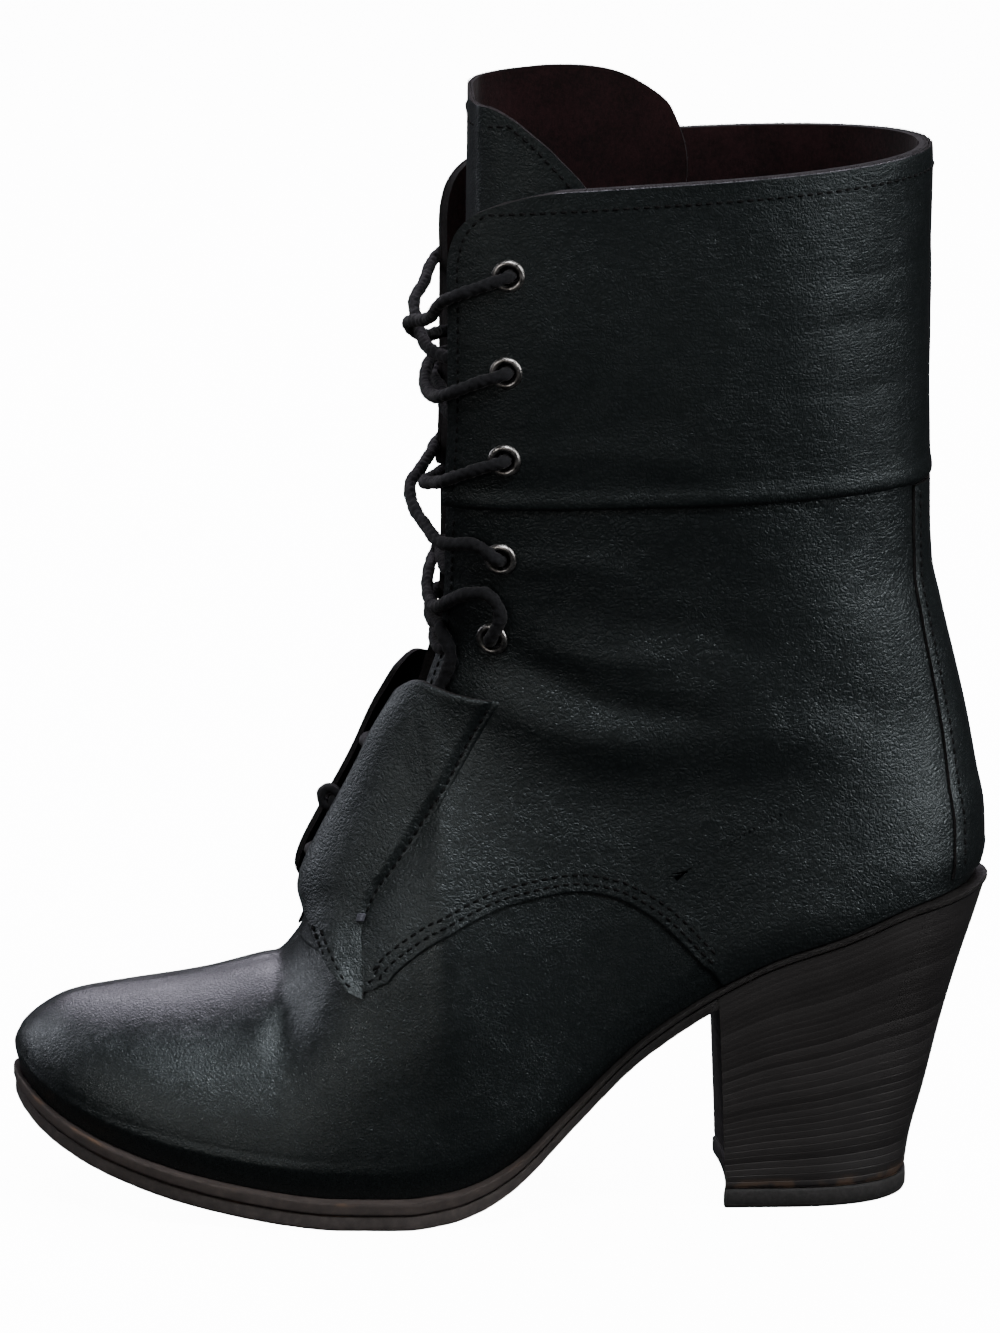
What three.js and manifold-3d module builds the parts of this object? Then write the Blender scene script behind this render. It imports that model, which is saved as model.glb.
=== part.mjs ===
// Lace-up boot for the left foot, with a tall stacked heel, a laced throat and a shaft cuff.
// Millimetres, +Z up, -X towards the toe, -Y towards the outer side of the foot.
import * as THREE from 'three';
import { mergeVertices } from 'three/addons/utils/BufferGeometryUtils.js';
import Module from 'manifold-3d';

// Overall sizes of the boot
const bootLength = 243;
const soleWidth = 87;
const toeSpring = 24;
const seatHeight = 75.3;
const vampHeight = 51;
const shaftHeight = 184;
const shaftWidth = 77;
const collarDrop = 6;
const toeSwing = 5;

// Sole layers
const outsoleThickness = 3.9;
const outsoleShankThickness = 3.2;
const midsoleThickness = 3.1;
const midsoleShankThickness = 1.4;
const insoleThickness = 2.2;
const outsoleSetback = 0.5;
const weltMargin = 1.8;
const seatMargin = 0.6;
const seam = 0.3;

// Heel stack
const heelTipLength = 46.2;
const heelTipWidth = 50;
const heelTipSetback = 20.3;
const breastHollow = 1.6;
const topLiftThickness = 5;

// Leather
const vampWall = 1.4;
const quarterStep = 0.8;
const cuffWall = 0.9;
const backStripWall = 1.2;
const flapWall = 1.4;
const tongueWall = 1.8;
const facingAt = 106.6;

// Eyelets and lace
const eyeletFlangeRadius = 4.1;
const eyeletHoleRadius = 2.3;
const eyeletBarrelWall = 0.5;
const eyeletFlangeHeight = 0.7;
const eyeletLift = 0.6;
const laceRadius = 1.6;

// How finely the program works: halvings of a search, and the distance at which points are one
const halvings = 40;
const weld = 1e-4;

const wasm = await Module();
wasm.setup();

// Smooth monotone curve through the rows of a table, for one column against the first.
function column(rows, key, name) {
  const x = rows.map((row) => row[key]);
  const y = rows.map((row) => row[name]);
  const slope = x.slice(1).map((v, i) => (y[i + 1] - y[i]) / (v - x[i]));
  const tangent = y.map((_, i) => {
    if (i === 0) return slope[0];
    if (i === y.length - 1) return slope[i - 1];
    const a = slope[i - 1];
    const b = slope[i];
    return a * b <= 0 ? 0 : (3 * (x[i + 1] - x[i - 1])) /
      ((x[i + 1] * 2 - x[i] - x[i - 1]) / a + (x[i + 1] + x[i] - x[i - 1] * 2) / b);
  });
  return (value) => {
    let i = 0;
    while (i < x.length - 2 && value > x[i + 1]) i += 1;
    const h = x[i + 1] - x[i];
    const f = (value - x[i]) / h;
    if (f < 0) return y[0] + tangent[0] * (value - x[0]);
    if (f > 1) return y[i + 1] + tangent[i + 1] * (value - x[i + 1]);
    return y[i] * (1 + 2 * f) * (1 - f) ** 2 + tangent[i] * h * f * (1 - f) ** 2 +
      y[i + 1] * f * f * (3 - 2 * f) + tangent[i + 1] * h * f * f * (f - 1);
  };
}

const mix = (a, b, f) => a + (b - a) * f;
const clamp = (v, low, high) => Math.min(high, Math.max(low, v));
const ease = (v) => clamp(v, 0, 1) ** 2 * (3 - 2 * clamp(v, 0, 1));

// Underside of the sole against the length, as shares of the toe spring and of the seat height.
const undersideRows = [
  { at: 0.0, spring: 1.0, seat: 0 },
  { at: 0.04, spring: 0.71, seat: 0 },
  { at: 0.08, spring: 0.52, seat: 0 },
  { at: 0.132, spring: 0.34, seat: 0 },
  { at: 0.185, spring: 0.205, seat: 0 },
  { at: 0.24, spring: 0.1, seat: 0 },
  { at: 0.29, spring: 0.03, seat: 0 },
  { at: 0.33, spring: 0, seat: 0 },
  { at: 0.395, spring: 0, seat: 0 },
  { at: 0.445, spring: 0, seat: 0.02 },
  { at: 0.476, spring: 0, seat: 0.056 },
  { at: 0.51, spring: 0, seat: 0.125 },
  { at: 0.562, spring: 0, seat: 0.291 },
  { at: 0.638, spring: 0, seat: 0.527 },
  { at: 0.69, spring: 0, seat: 0.641 },
  { at: 0.73, spring: 0, seat: 0.713 },
  { at: 0.775, spring: 0, seat: 0.784 },
  { at: 0.844, spring: 0, seat: 0.86 },
  { at: 0.93, spring: 0, seat: 0.962 },
  { at: 1.0, spring: 0, seat: 1.0 },
];
const springShare = column(undersideRows, 'at', 'spring');
const seatShare = column(undersideRows, 'at', 'seat');
const smoothUnderside = (share) => springShare(share) * toeSpring + seatShare(share) * seatHeight;

// Where the sole layers and the upper's loops have their corners, as shares of the length.
const breastShare = 0.7185;
const crossShares = [0, 0.012, 0.034, 0.068, 0.115, 0.175, 0.245, 0.33, 0.395, 0.445, 0.49, 0.535, 0.585, 0.64,
  breastShare, 0.78, 0.84, 0.895, 0.938, 0.967, 1];
const soleShares = [0, 0.003, ...crossShares.slice(1, -1), 0.985, 0.997, 1];

// The underside runs straight between those corners, so that all the layers follow one another.
function underside(x) {
  const share = x / bootLength;
  let i = 0;
  while (i < crossShares.length - 2 && share > crossShares[i + 1]) i += 1;
  const f = (share - crossShares[i]) / (crossShares[i + 1] - crossShares[i]);
  return mix(smoothUnderside(crossShares[i]), smoothUnderside(crossShares[i + 1]), f);
}

// How far a layer has thinned from the forefoot to the shank, as shares of the length.
const shankFrom = 0.42;
const shankRun = 0.2;
const thinning = (x) => ease((x / bootLength - shankFrom) / shankRun);
const outsoleTop = (x) => underside(x) + mix(outsoleThickness, outsoleShankThickness, thinning(x));
const midsoleBottom = (x) => outsoleTop(x) + seam;
const midsoleTop = (x) => midsoleBottom(x) + mix(midsoleThickness, midsoleShankThickness, thinning(x));
const featherLine = (x) => midsoleTop(x) + seam;

// Outline of the sole seen from below, as shares of its width, each side from the last's centre line.
const outlineRows = [
  { at: 0, lateral: 0, medial: 0 },
  { at: 0.025, lateral: 0.218, medial: 0.215 },
  { at: 0.1, lateral: 0.388, medial: 0.385 },
  { at: 0.2, lateral: 0.474, medial: 0.474 },
  { at: 0.3, lateral: 0.503, medial: 0.494 },
  { at: 0.38, lateral: 0.507, medial: 0.472 },
  { at: 0.5, lateral: 0.466, medial: 0.385 },
  { at: 0.62, lateral: 0.388, medial: 0.312 },
  { at: 0.74, lateral: 0.345, medial: 0.318 },
  { at: 0.84, lateral: 0.35, medial: 0.342 },
  { at: 0.93, lateral: 0.308, medial: 0.305 },
  { at: 1, lateral: 0, medial: 0 },
];
const turned = outlineRows.map((row) => ({ ...row, turn: Math.acos(1 - 2 * row.at) }));
const outline = { lateral: column(turned, 'turn', 'lateral'), medial: column(turned, 'turn', 'medial') };
const sideOf = (turn) => (turn <= Math.PI ? 'lateral' : 'medial');
const signOf = (side) => (side === 'lateral' ? -1 : 1);
const along = (turn) => (1 - Math.cos(turn)) / 2;

// The last's centre line swings inward at the toe, over this share of the length.
const swingRun = 0.45;
const centreLine = (x) => toeSwing * (1 - ease(x / bootLength / swingRun));

// A point of the sole's outline on one side, moved inward by the inset; turn runs from 0 at the toe to pi.
function outlinePoint(turn, side, inset) {
  const at = (v) => {
    const x = along(v) * bootLength;
    return new THREE.Vector2(x, centreLine(x) + signOf(side) * outline[side](v) * soleWidth);
  };
  const here = at(turn);
  if (turn === 0 || turn === Math.PI) return here.add(new THREE.Vector2(inset * Math.cos(turn), 0));
  const step = 0.002;
  const run = at(Math.min(turn + step, Math.PI)).sub(at(Math.max(turn - step, 0))).normalize();
  return here.add(new THREE.Vector2(-run.y, run.x).multiplyScalar(-signOf(side) * inset));
}

// Front line of the closed boot in side view: the toe, the vamp, the instep and the shin.
// up runs from the feather line to the collar; vamp and leg are shares of those heights.
const frontRows = [
  { up: 0, at: 0.006, vamp: 0, leg: 0 },
  { up: 0.03, at: 0.0015, vamp: 0.1, leg: 0 },
  { up: 0.06, at: 0.0075, vamp: 0.2, leg: 0 },
  { up: 0.09, at: 0.023, vamp: 0.335, leg: 0 },
  { up: 0.13, at: 0.054, vamp: 0.51, leg: 0 },
  { up: 0.19, at: 0.116, vamp: 0.69, leg: 0 },
  { up: 0.26, at: 0.2, vamp: 0.855, leg: 0 },
  { up: 0.32, at: 0.268, vamp: 0.985, leg: 0 },
  { up: 0.355, at: 0.291, vamp: 1, leg: 0.027 },
  { up: 0.385, at: 0.305, vamp: 1, leg: 0.062 },
  { up: 0.43, at: 0.322, vamp: 1, leg: 0.115 },
  { up: 0.48, at: 0.347, vamp: 1, leg: 0.184 },
  { up: 0.54, at: 0.386, vamp: 1, leg: 0.276 },
  { up: 0.6, at: 0.42, vamp: 1, leg: 0.36 },
  { up: 0.66, at: 0.434, vamp: 1, leg: 0.438 },
  { up: 0.76, at: 0.428, vamp: 1, leg: 0.595 },
  { up: 0.87, at: 0.421, vamp: 1, leg: 0.785 },
  { up: 1, at: 0.417, vamp: 1, leg: 1 },
];
// Back line in side view, from the seat to the collar, as a share of the shaft height.
const backRows = [
  { up: 0, at: 0.983, rise: 0 },
  { up: 0.06, at: 0.9895, rise: 0.041 },
  { up: 0.13, at: 0.988, rise: 0.09 },
  { up: 0.2, at: 0.98, rise: 0.144 },
  { up: 0.3, at: 0.97, rise: 0.215 },
  { up: 0.4, at: 0.956, rise: 0.297 },
  { up: 0.5, at: 0.942, rise: 0.373 },
  { up: 0.58, at: 0.932, rise: 0.432 },
  { up: 0.76, at: 0.9285, rise: 0.545 },
  { up: 0.88, at: 0.928, rise: 0.77 },
  { up: 1, at: 0.928, rise: 1 },
];
const frontAt = column(frontRows, 'up', 'at');
const frontVamp = column(frontRows, 'up', 'vamp');
const frontLeg = column(frontRows, 'up', 'leg');
const backAt = column(backRows, 'up', 'at');
const backRise = column(backRows, 'up', 'rise');
const seatZ = featherLine(bootLength);
const collarZ = seatZ + shaftHeight;
const legHeight = collarZ - collarDrop - featherLine(facingAt) - vampHeight;
const frontX = (up) => frontAt(up) * bootLength;
const frontZ = (up) => featherLine(frontX(up)) + frontVamp(up) * vampHeight + frontLeg(up) * legHeight;
const backX = (up) => backAt(up) * bootLength;
const backZ = (up) => seatZ + backRise(up) * shaftHeight;

// The level at which the toe reaches furthest forward.
const toeTipUp = 0.03;

// The same two lines read the other way: position against height, and height against position.
const sampledUp = 1.2;
const sampleCount = 240;
const samples = Array.from({ length: sampleCount + 1 }, (_, i) => (i * sampledUp) / sampleCount);
function reading(points) {
  const kept = points.filter((point, i) => i === 0 || points.slice(0, i).every((p) => point.from > p.from));
  return (value) => {
    let i = 0;
    while (i < kept.length - 2 && value > kept[i + 1].from) i += 1;
    return mix(kept[i].to, kept[i + 1].to, (value - kept[i].from) / (kept[i + 1].from - kept[i].from));
  };
}
const frontAtHeight = reading(samples.map((up) => ({ from: frontZ(up), to: frontX(up) })));
const backAtHeight = reading(samples.map((up) => ({ from: backZ(up), to: backX(up) })));
const ridgeAtLength = reading(samples.filter((up) => up >= toeTipUp)
  .map((up) => ({ from: frontX(up), to: frontZ(up) })));

// Shaft sections against the height above the seat, as shares of the shaft height and width.
const shaftRows = [
  { rise: -0.3, half: 0.42, blunt: 2.1, widest: 0.42 },
  { rise: 0, half: 0.41, blunt: 2.1, widest: 0.45 },
  { rise: 0.15, half: 0.4, blunt: 2.2, widest: 0.46 },
  { rise: 0.3, half: 0.392, blunt: 2.6, widest: 0.47 },
  { rise: 0.42, half: 0.405, blunt: 3.4, widest: 0.48 },
  { rise: 0.55, half: 0.44, blunt: 4.1, widest: 0.48 },
  { rise: 0.8, half: 0.485, blunt: 4.6, widest: 0.48 },
  { rise: 1, half: 0.5, blunt: 4.8, widest: 0.48 },
];
const shaftHalf = column(shaftRows, 'rise', 'half');
const shaftBlunt = column(shaftRows, 'rise', 'blunt');
const shaftWidest = column(shaftRows, 'rise', 'widest');

// How square the shaft's section is behind its widest point.
const rearBlunt = 2.15;

function shaftHalfWidth(x, z) {
  const rise = clamp((z - seatZ) / shaftHeight, shaftRows[0].rise, sampledUp);
  const v = (x - frontAtHeight(z)) / (backAtHeight(z) - frontAtHeight(z));
  const widest = shaftWidest(rise);
  const blunt = shaftBlunt(rise);
  const f = clamp(v < widest ? 1 - v / widest : (v - widest) / (1 - widest), 0, 1);
  const power = v < widest ? blunt : rearBlunt;
  return shaftHalf(rise) * shaftWidth * (1 - f ** power) ** (1 / power);
}

// The foot's sections: squarer at the toe than at the waist, and tucked in a little above the sole.
const toeBlunt = 2.3;
const waistBlunt = 1.75;
const bluntRun = 0.4;
const tuckShare = 0.05;
const tuckHeight = 11;
const marginFrom = 0.5;
const marginRun = 0.25;

function footHalfWidth(x, z, side, up) {
  const toe = frontX(Math.min(up, toeTipUp));
  const heel = backAtHeight(clamp(z, seatZ, collarZ));
  const v = clamp((x - toe) / (heel - toe), 0, 1);
  const margin = mix(weltMargin, seatMargin, ease((v - marginFrom) / marginRun));
  const plan = outline[side](Math.acos(1 - 2 * v)) * soleWidth - margin;
  const floor = featherLine(x);
  const h = up < toeTipUp ? 0 : clamp((z - floor) / Math.max(ridgeAtLength(x) - floor, 0.01), 0, 1);
  const boxy = mix(toeBlunt, waistBlunt, ease(v / bluntRun));
  const tuck = 1 - tuckShare * clamp(1 - (z - floor) / tuckHeight, 0, 1) ** 2;
  return Math.max(plan, 0) * tuck * Math.sqrt(1 - h ** boxy);
}

// The foot's sections give way to the shaft's from below the seat up, over a share of the shaft height.
const ankleDrop = 22;
const ankleRun = 0.42;

function halfWidth(x, z, side, up) {
  const blend = ease((z - (seatZ - ankleDrop)) / (ankleRun * shaftHeight));
  const foot = footHalfWidth(x, z, side, up);
  const shaft = shaftHalfWidth(x, z);
  return Math.sqrt((1 - blend) * foot * foot + blend * shaft * shaft);
}

// The level from which the loops no longer follow the sole's curve.
const freeLevel = 0.76;

// A point of the closed boot's outer form. turn goes round from the front line along the outer side,
// over the back line at pi and home along the inner side; up goes from the feather line to the collar.
function rawForm(turn, up) {
  const s = along(turn);
  const x = mix(frontX(up), backX(up), s);
  const level = mix(frontZ(up), backZ(up), s);
  const base = mix(frontZ(0), backZ(0), s);
  const bottomX = mix(frontX(0), backX(0), s);
  const pull = clamp(1 - up / freeLevel, 0, 1) ** 2;
  const z = level + pull * (featherLine(bottomX) - base);
  const side = sideOf(turn);
  return new THREE.Vector3(x, centreLine(x) + signOf(side) * halfWidth(x, z, side, up), z);
}

const turnStep = 0.03;
const upStep = 0.004;
function form(turn, up, offset) {
  const here = rawForm(turn, up);
  if (offset === 0) return here;
  const full = 2 * Math.PI;
  const round = rawForm((turn + turnStep) % full, up).sub(rawForm((turn - turnStep + full) % full, up));
  const rise = rawForm(turn, up + upStep).sub(rawForm(turn, Math.max(up - upStep, 0)));
  const out = round.cross(rise).normalize();
  here.addScaledVector(out, offset);
  if (up <= 0) here.z = featherLine(here.x);
  return here;
}

const mirrorTurn = (turn) => 2 * Math.PI - turn;

// Where a point seen from the side lies on the outer side of the form.
function locate(x, z) {
  let low = 0;
  let high = sampledUp;
  let turn = 0;
  for (let i = 0; i < halvings; i += 1) {
    const up = (low + high) / 2;
    turn = Math.acos(1 - 2 * clamp((x - frontX(up)) / (backX(up) - frontX(up)), 0, 1));
    if (rawForm(turn, up).z < z) low = up;
    else high = up;
  }
  return { turn, up: low };
}

// The turn at which a loop of the form is a given distance from its centre line.
function turnAtSpread(up, spread) {
  let low = 0;
  let high = Math.PI / 2;
  for (let i = 0; i < halvings; i += 1) {
    const turn = (low + high) / 2;
    const point = rawForm(turn, up);
    if (Math.abs(point.y - centreLine(point.x)) < spread) low = turn;
    else high = turn;
  }
  return low;
}

// A mesh of points and faces, without the faces that have shrunk to a line.
function geometryOf(points, faces) {
  const apart = (a, b) => points[a].distanceTo(points[b]) > weld;
  const kept = faces.filter(([a, b, c]) => apart(a, b) && apart(b, c) && apart(c, a));
  const geometry = new THREE.BufferGeometry();
  const corners = kept.flat().flatMap((n) => [points[n].x, points[n].y, points[n].z]);
  geometry.setAttribute('position', new THREE.Float32BufferAttribute(corners, 3));
  return mergeVertices(geometry, weld);
}

// Quads between neighbouring rows of a grid of point numbers, each cut along its shorter diagonal.
function quads(points, a, b, c, d) {
  return points[a].distanceTo(points[c]) <= points[b].distanceTo(points[d])
    ? [[a, b, c], [a, c, d]]
    : [[a, b, d], [b, c, d]];
}

// A closed band between rings that run outside upward and inside downward.
function ringSkin(outerRings, innerRings) {
  const rings = [...outerRings, ...[...innerRings].reverse()];
  const points = rings.flat();
  const count = rings[0].length;
  const faces = [];
  rings.forEach((_, i) => {
    const next = ((i + 1) % rings.length) * count;
    for (let j = 0; j < count; j += 1) {
      const k = (j + 1) % count;
      faces.push(...quads(points, i * count + j, i * count + k, next + k, next + j));
    }
  });
  return geometryOf(points, faces);
}

// A closed slab between two open grids of points, the outer face first.
function slab(outerGrid, innerGrid) {
  const rows = outerGrid.length;
  const count = outerGrid[0].length;
  const points = [...outerGrid.flat(), ...innerGrid.flat()];
  const inner = rows * count;
  const at = (i, j) => i * count + j;
  const faces = [];
  for (let i = 0; i < rows - 1; i += 1) {
    for (let j = 0; j < count - 1; j += 1) {
      faces.push(...quads(points, at(i, j), at(i, j + 1), at(i + 1, j + 1), at(i + 1, j)));
      faces.push(...quads(points, inner + at(i, j), inner + at(i + 1, j), inner + at(i + 1, j + 1),
        inner + at(i, j + 1)));
    }
  }
  const rim = [];
  for (let j = 0; j < count - 1; j += 1) rim.push(at(0, j));
  for (let i = 0; i < rows - 1; i += 1) rim.push(at(i, count - 1));
  for (let j = count - 1; j > 0; j -= 1) rim.push(at(rows - 1, j));
  for (let i = rows - 1; i > 0; i -= 1) rim.push(at(i, 0));
  rim.forEach((a, n) => {
    const b = rim[(n + 1) % rim.length];
    faces.push(...quads(points, b, a, inner + a, inner + b));
  });
  return geometryOf(points, faces);
}

function toManifold(geometry) {
  const bare = geometry.clone();
  bare.deleteAttribute('normal');
  bare.deleteAttribute('uv');
  const merged = mergeVertices(bare, weld);
  const mesh = new wasm.Mesh({
    numProp: 3,
    vertProperties: new Float32Array(merged.attributes.position.array),
    triVerts: new Uint32Array(merged.index.array),
  });
  return new wasm.Manifold(mesh);
}

function fromManifold(solid) {
  const mesh = solid.getMesh();
  const geometry = new THREE.BufferGeometry();
  geometry.setAttribute('position', new THREE.Float32BufferAttribute(mesh.vertProperties, mesh.numProp));
  geometry.setIndex([...mesh.triVerts]);
  return geometry;
}

const spread = (low, high, count) => Array.from({ length: count + 1 }, (_, i) => mix(low, high, i / count));

// Levels of the loops, close together at the toe and the instep, wider apart up the shaft.
const levels = [0, 0.03, 0.06, 0.095, 0.14, 0.195, 0.255, 0.31, 0.35, 0.39, 0.44, 0.49, 0.545, 0.6, 0.66, 0.76,
  0.88, 1];
const turnAtShare = (share) => Math.acos(1 - 2 * share);
const halfTurns = crossShares.map((share) => (
  turnAtShare(clamp((share * bootLength - frontX(0)) / (backX(0) - frontX(0)), 0, 1))));
const ringTurns = [...halfTurns, ...halfTurns.slice(1, -1).reverse().map(mirrorTurn)];

function formRings(ups, offset) {
  return ups.map((up) => ringTurns.map((turn) => form(turn, up, offset)));
}

const vampShell = ringSkin(formRings(levels, 0), formRings(levels, -vampWall));
const skinOverlap = vampWall / 2;
const quarterShell = ringSkin(formRings(levels, quarterStep), formRings(levels, -skinOverlap));

// Side view of the quarter's lower edge: length share, and height as a share of the seat height.
const quarterEdgeRows = [
  { at: 0.325, rise: 0.86 },
  { at: 0.36, rise: 0.755 },
  { at: 0.394, rise: 0.858 },
  { at: 0.444, rise: 0.968 },
  { at: 0.514, rise: 1.07 },
  { at: 0.585, rise: 1.098 },
  { at: 0.647, rise: 1.02 },
  { at: 0.698, rise: 0.855 },
  { at: 0.722, rise: 0.76 },
  { at: 0.728, rise: 0.5 },
];

function prismAcross(outlineXZ, low, high) {
  const shape = new THREE.Shape(outlineXZ.map(([x, z]) => new THREE.Vector2(x, z)));
  const geometry = new THREE.ExtrudeGeometry(shape, { depth: high - low, bevelEnabled: false });
  geometry.rotateX(Math.PI / 2);
  geometry.translate(0, high, 0);
  return geometry;
}

const reach = bootLength;
const quarterOutline = [
  ...quarterEdgeRows.map((row) => [row.at * bootLength, row.rise * seatHeight]),
  [bootLength + reach, 0],
  [bootLength + reach, collarZ + reach],
  [0, collarZ + reach],
  [0, collarZ - legHeight],
];
const quarterPrism = toManifold(prismAcross(quarterOutline, -soleWidth, soleWidth));

// Half the throat's opening against the height on the leg, as a share of the shaft's width.
const throatRows = [
  { leg: 0.055, gap: 0 },
  { leg: 0.06, gap: 0.05 },
  { leg: 0.085, gap: 0.09 },
  { leg: 0.2, gap: 0.097 },
  { leg: 0.36, gap: 0.115 },
  { leg: 0.42, gap: 0.16 },
  { leg: 0.5, gap: 0.235 },
  { leg: 0.6, gap: 0.31 },
  { leg: 0.72, gap: 0.372 },
  { leg: 0.85, gap: 0.41 },
  { leg: 0.94, gap: 0.424 },
  { leg: 0.97, gap: 0.445 },
  { leg: 0.99, gap: 0.48 },
  { leg: 1.2, gap: 0.6 },
];
const legFloor = featherLine(facingAt) + vampHeight;
const throatEnd = 0.51 * bootLength;

// A block that runs along X, with the outline of the throat seen from the front.
function throatBlock() {
  const side = throatRows.map((row) => [row.gap * shaftWidth, legFloor + row.leg * legHeight]);
  const shape = new THREE.Shape([
    ...side.map(([y, z]) => new THREE.Vector2(y, z)),
    ...side.slice(1).reverse().map(([y, z]) => new THREE.Vector2(-y, z)),
  ]);
  const geometry = new THREE.ExtrudeGeometry(shape, { depth: bootLength, bevelEnabled: false });
  geometry.rotateX(Math.PI / 2);
  geometry.rotateZ(Math.PI / 2);
  geometry.translate(throatEnd - bootLength, 0, 0);
  return geometry;
}

const throat = toManifold(throatBlock());

// Eyelets: length share and height share of the shaft, from the top one down.
const eyeletRows = [
  { name: 'eyelet_1', at: 0.504, rise: 0.861, onCuff: true },
  { name: 'eyelet_2', at: 0.502, rise: 0.73, onCuff: true },
  { name: 'eyelet_3', at: 0.501, rise: 0.61, onCuff: true },
  { name: 'eyelet_4', at: 0.497, rise: 0.47, onCuff: false },
  { name: 'eyelet_5', at: 0.49, rise: 0.356, onCuff: false },
];
const cuffInner = quarterStep + seam;
const cuffOuter = cuffInner + cuffWall;
const barrelRadius = eyeletHoleRadius + eyeletBarrelWall;

// The frame of an eyelet: its place on the leather's face and the way out of the boot.
function eyeletSeat(row, side) {
  const spot = locate(row.at * bootLength, seatZ + row.rise * shaftHeight);
  const turn = side === 'lateral' ? spot.turn : mirrorTurn(spot.turn);
  const face = row.onCuff ? cuffOuter : quarterStep;
  const origin = form(turn, spot.up, face);
  const out = origin.clone().sub(form(turn, spot.up, 0)).normalize();
  return { origin, out, turn, up: spot.up, depth: face + vampWall };
}

function stand(geometry, seat, lift) {
  const spin = new THREE.Quaternion().setFromUnitVectors(new THREE.Vector3(0, 1, 0), seat.out);
  geometry.applyQuaternion(spin);
  const foot = seat.origin.clone().addScaledVector(seat.out, lift);
  geometry.translate(foot.x, foot.y, foot.z);
  return geometry;
}

const holeLength = 16;
const holeSides = 11;
function eyeletHole(seat) {
  const radius = barrelRadius + seam;
  return toManifold(stand(new THREE.CylinderGeometry(radius, radius, holeLength, holeSides), seat, 0));
}

function eyeletRing(seat) {
  const low = -seat.depth - seam;
  const high = eyeletLift + eyeletFlangeHeight;
  const profile = [
    [eyeletHoleRadius, low],
    [barrelRadius, low],
    [barrelRadius, eyeletLift],
    [eyeletFlangeRadius, eyeletLift],
    [(eyeletFlangeRadius + eyeletHoleRadius) / 2, high],
    [eyeletHoleRadius, eyeletLift],
    [eyeletHoleRadius, low],
  ].map(([r, h]) => new THREE.Vector2(r, h));
  return stand(new THREE.LatheGeometry(profile, holeSides), seat, 0);
}

const seats = eyeletRows.flatMap((row) => ['lateral', 'medial'].map((side) => (
  { name: `${row.name}_${side}`, row, side, seat: eyeletSeat(row, side) })));

function pierce(solid, chosen) {
  return chosen.reduce((left, entry) => left.subtract(eyeletHole(entry.seat)), solid);
}

const upper = pierce(
  toManifold(vampShell).add(toManifold(quarterShell).intersect(quarterPrism)).subtract(throat),
  seats,
);

// The cuff: a band over the quarter from the cuff line to the collar.
const cuffLine = 0.765;
const cuffLevels = [cuffLine, ...levels.filter((up) => up > cuffLine)];
const cuffBand = ringSkin(formRings(cuffLevels, cuffOuter), formRings(cuffLevels, cuffInner));
const cuff = pierce(toManifold(cuffBand).subtract(throat), seats.filter((entry) => entry.row.onCuff));

// A grid of points on the form between two turns.
function formGrid(ups, turnsAt, offset) {
  return ups.map((up) => turnsAt(up).map((turn) => form(turn, up, offset)));
}

// The strip up the back seam, between the seat and the cuff.
const stripTop = cuffLine - 0.012;
const stripLevels = [...levels.filter((up) => up > 0 && up < freeLevel), stripTop];
const stripColumns = 4;
const stripTurn = Math.PI - halfTurns[halfTurns.length - 2];
const stripTurns = () => spread(Math.PI - stripTurn, Math.PI + stripTurn, stripColumns);
const backStrip = slab(formGrid(stripLevels, stripTurns, cuffInner + backStripWall - seam),
  formGrid(stripLevels, stripTurns, cuffInner));

// Sole layers: rows across the foot from the toe to the heel.
const frontShares = soleShares.filter((share) => share <= breastShare);

// A closed body between grids of points that lie one above the other, the lowest first.
function gridSolid(grids) {
  const rows = grids[0].length;
  const count = grids[0][0].length;
  const points = grids.flat(2);
  const at = (level, i, j) => (level * rows + i) * count + j;
  const top = grids.length - 1;
  const faces = [];
  for (let i = 0; i < rows - 1; i += 1) {
    for (let j = 0; j < count - 1; j += 1) {
      faces.push(...quads(points, at(top, i, j), at(top, i + 1, j), at(top, i + 1, j + 1), at(top, i, j + 1)));
      faces.push(...quads(points, at(0, i, j), at(0, i, j + 1), at(0, i + 1, j + 1), at(0, i + 1, j)));
    }
  }
  const rim = [];
  for (let i = 0; i < rows - 1; i += 1) rim.push([i, 0]);
  for (let j = 0; j < count - 1; j += 1) rim.push([rows - 1, j]);
  for (let i = rows - 1; i > 0; i -= 1) rim.push([i, count - 1]);
  for (let j = count - 1; j > 0; j -= 1) rim.push([0, j]);
  for (let level = 0; level < top; level += 1) {
    rim.forEach((a, n) => {
      const b = rim[(n + 1) % rim.length];
      faces.push(...quads(points, at(level, ...a), at(level, ...b), at(level + 1, ...b), at(level + 1, ...a)));
    });
  }
  return geometryOf(points, faces);
}

function soleGrid(shares, inset, heightAt) {
  return shares.map((share) => {
    const pair = ['lateral', 'medial'].map((side) => outlinePoint(turnAtShare(share), side, inset));
    return pair.map((point) => new THREE.Vector3(point.x, point.y, heightAt(point.x)));
  });
}

const outsole = gridSolid([
  soleGrid(frontShares, outsoleSetback, underside),
  soleGrid(frontShares, outsoleSetback, outsoleTop),
]);
const midsole = gridSolid([
  soleGrid(soleShares, 0, midsoleBottom),
  soleGrid(soleShares, 0, midsoleTop),
]);

const insolePlay = 0.25;
const insoleGap = vampWall + seam + insolePlay;
const insoleRest = 0.2;

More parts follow.
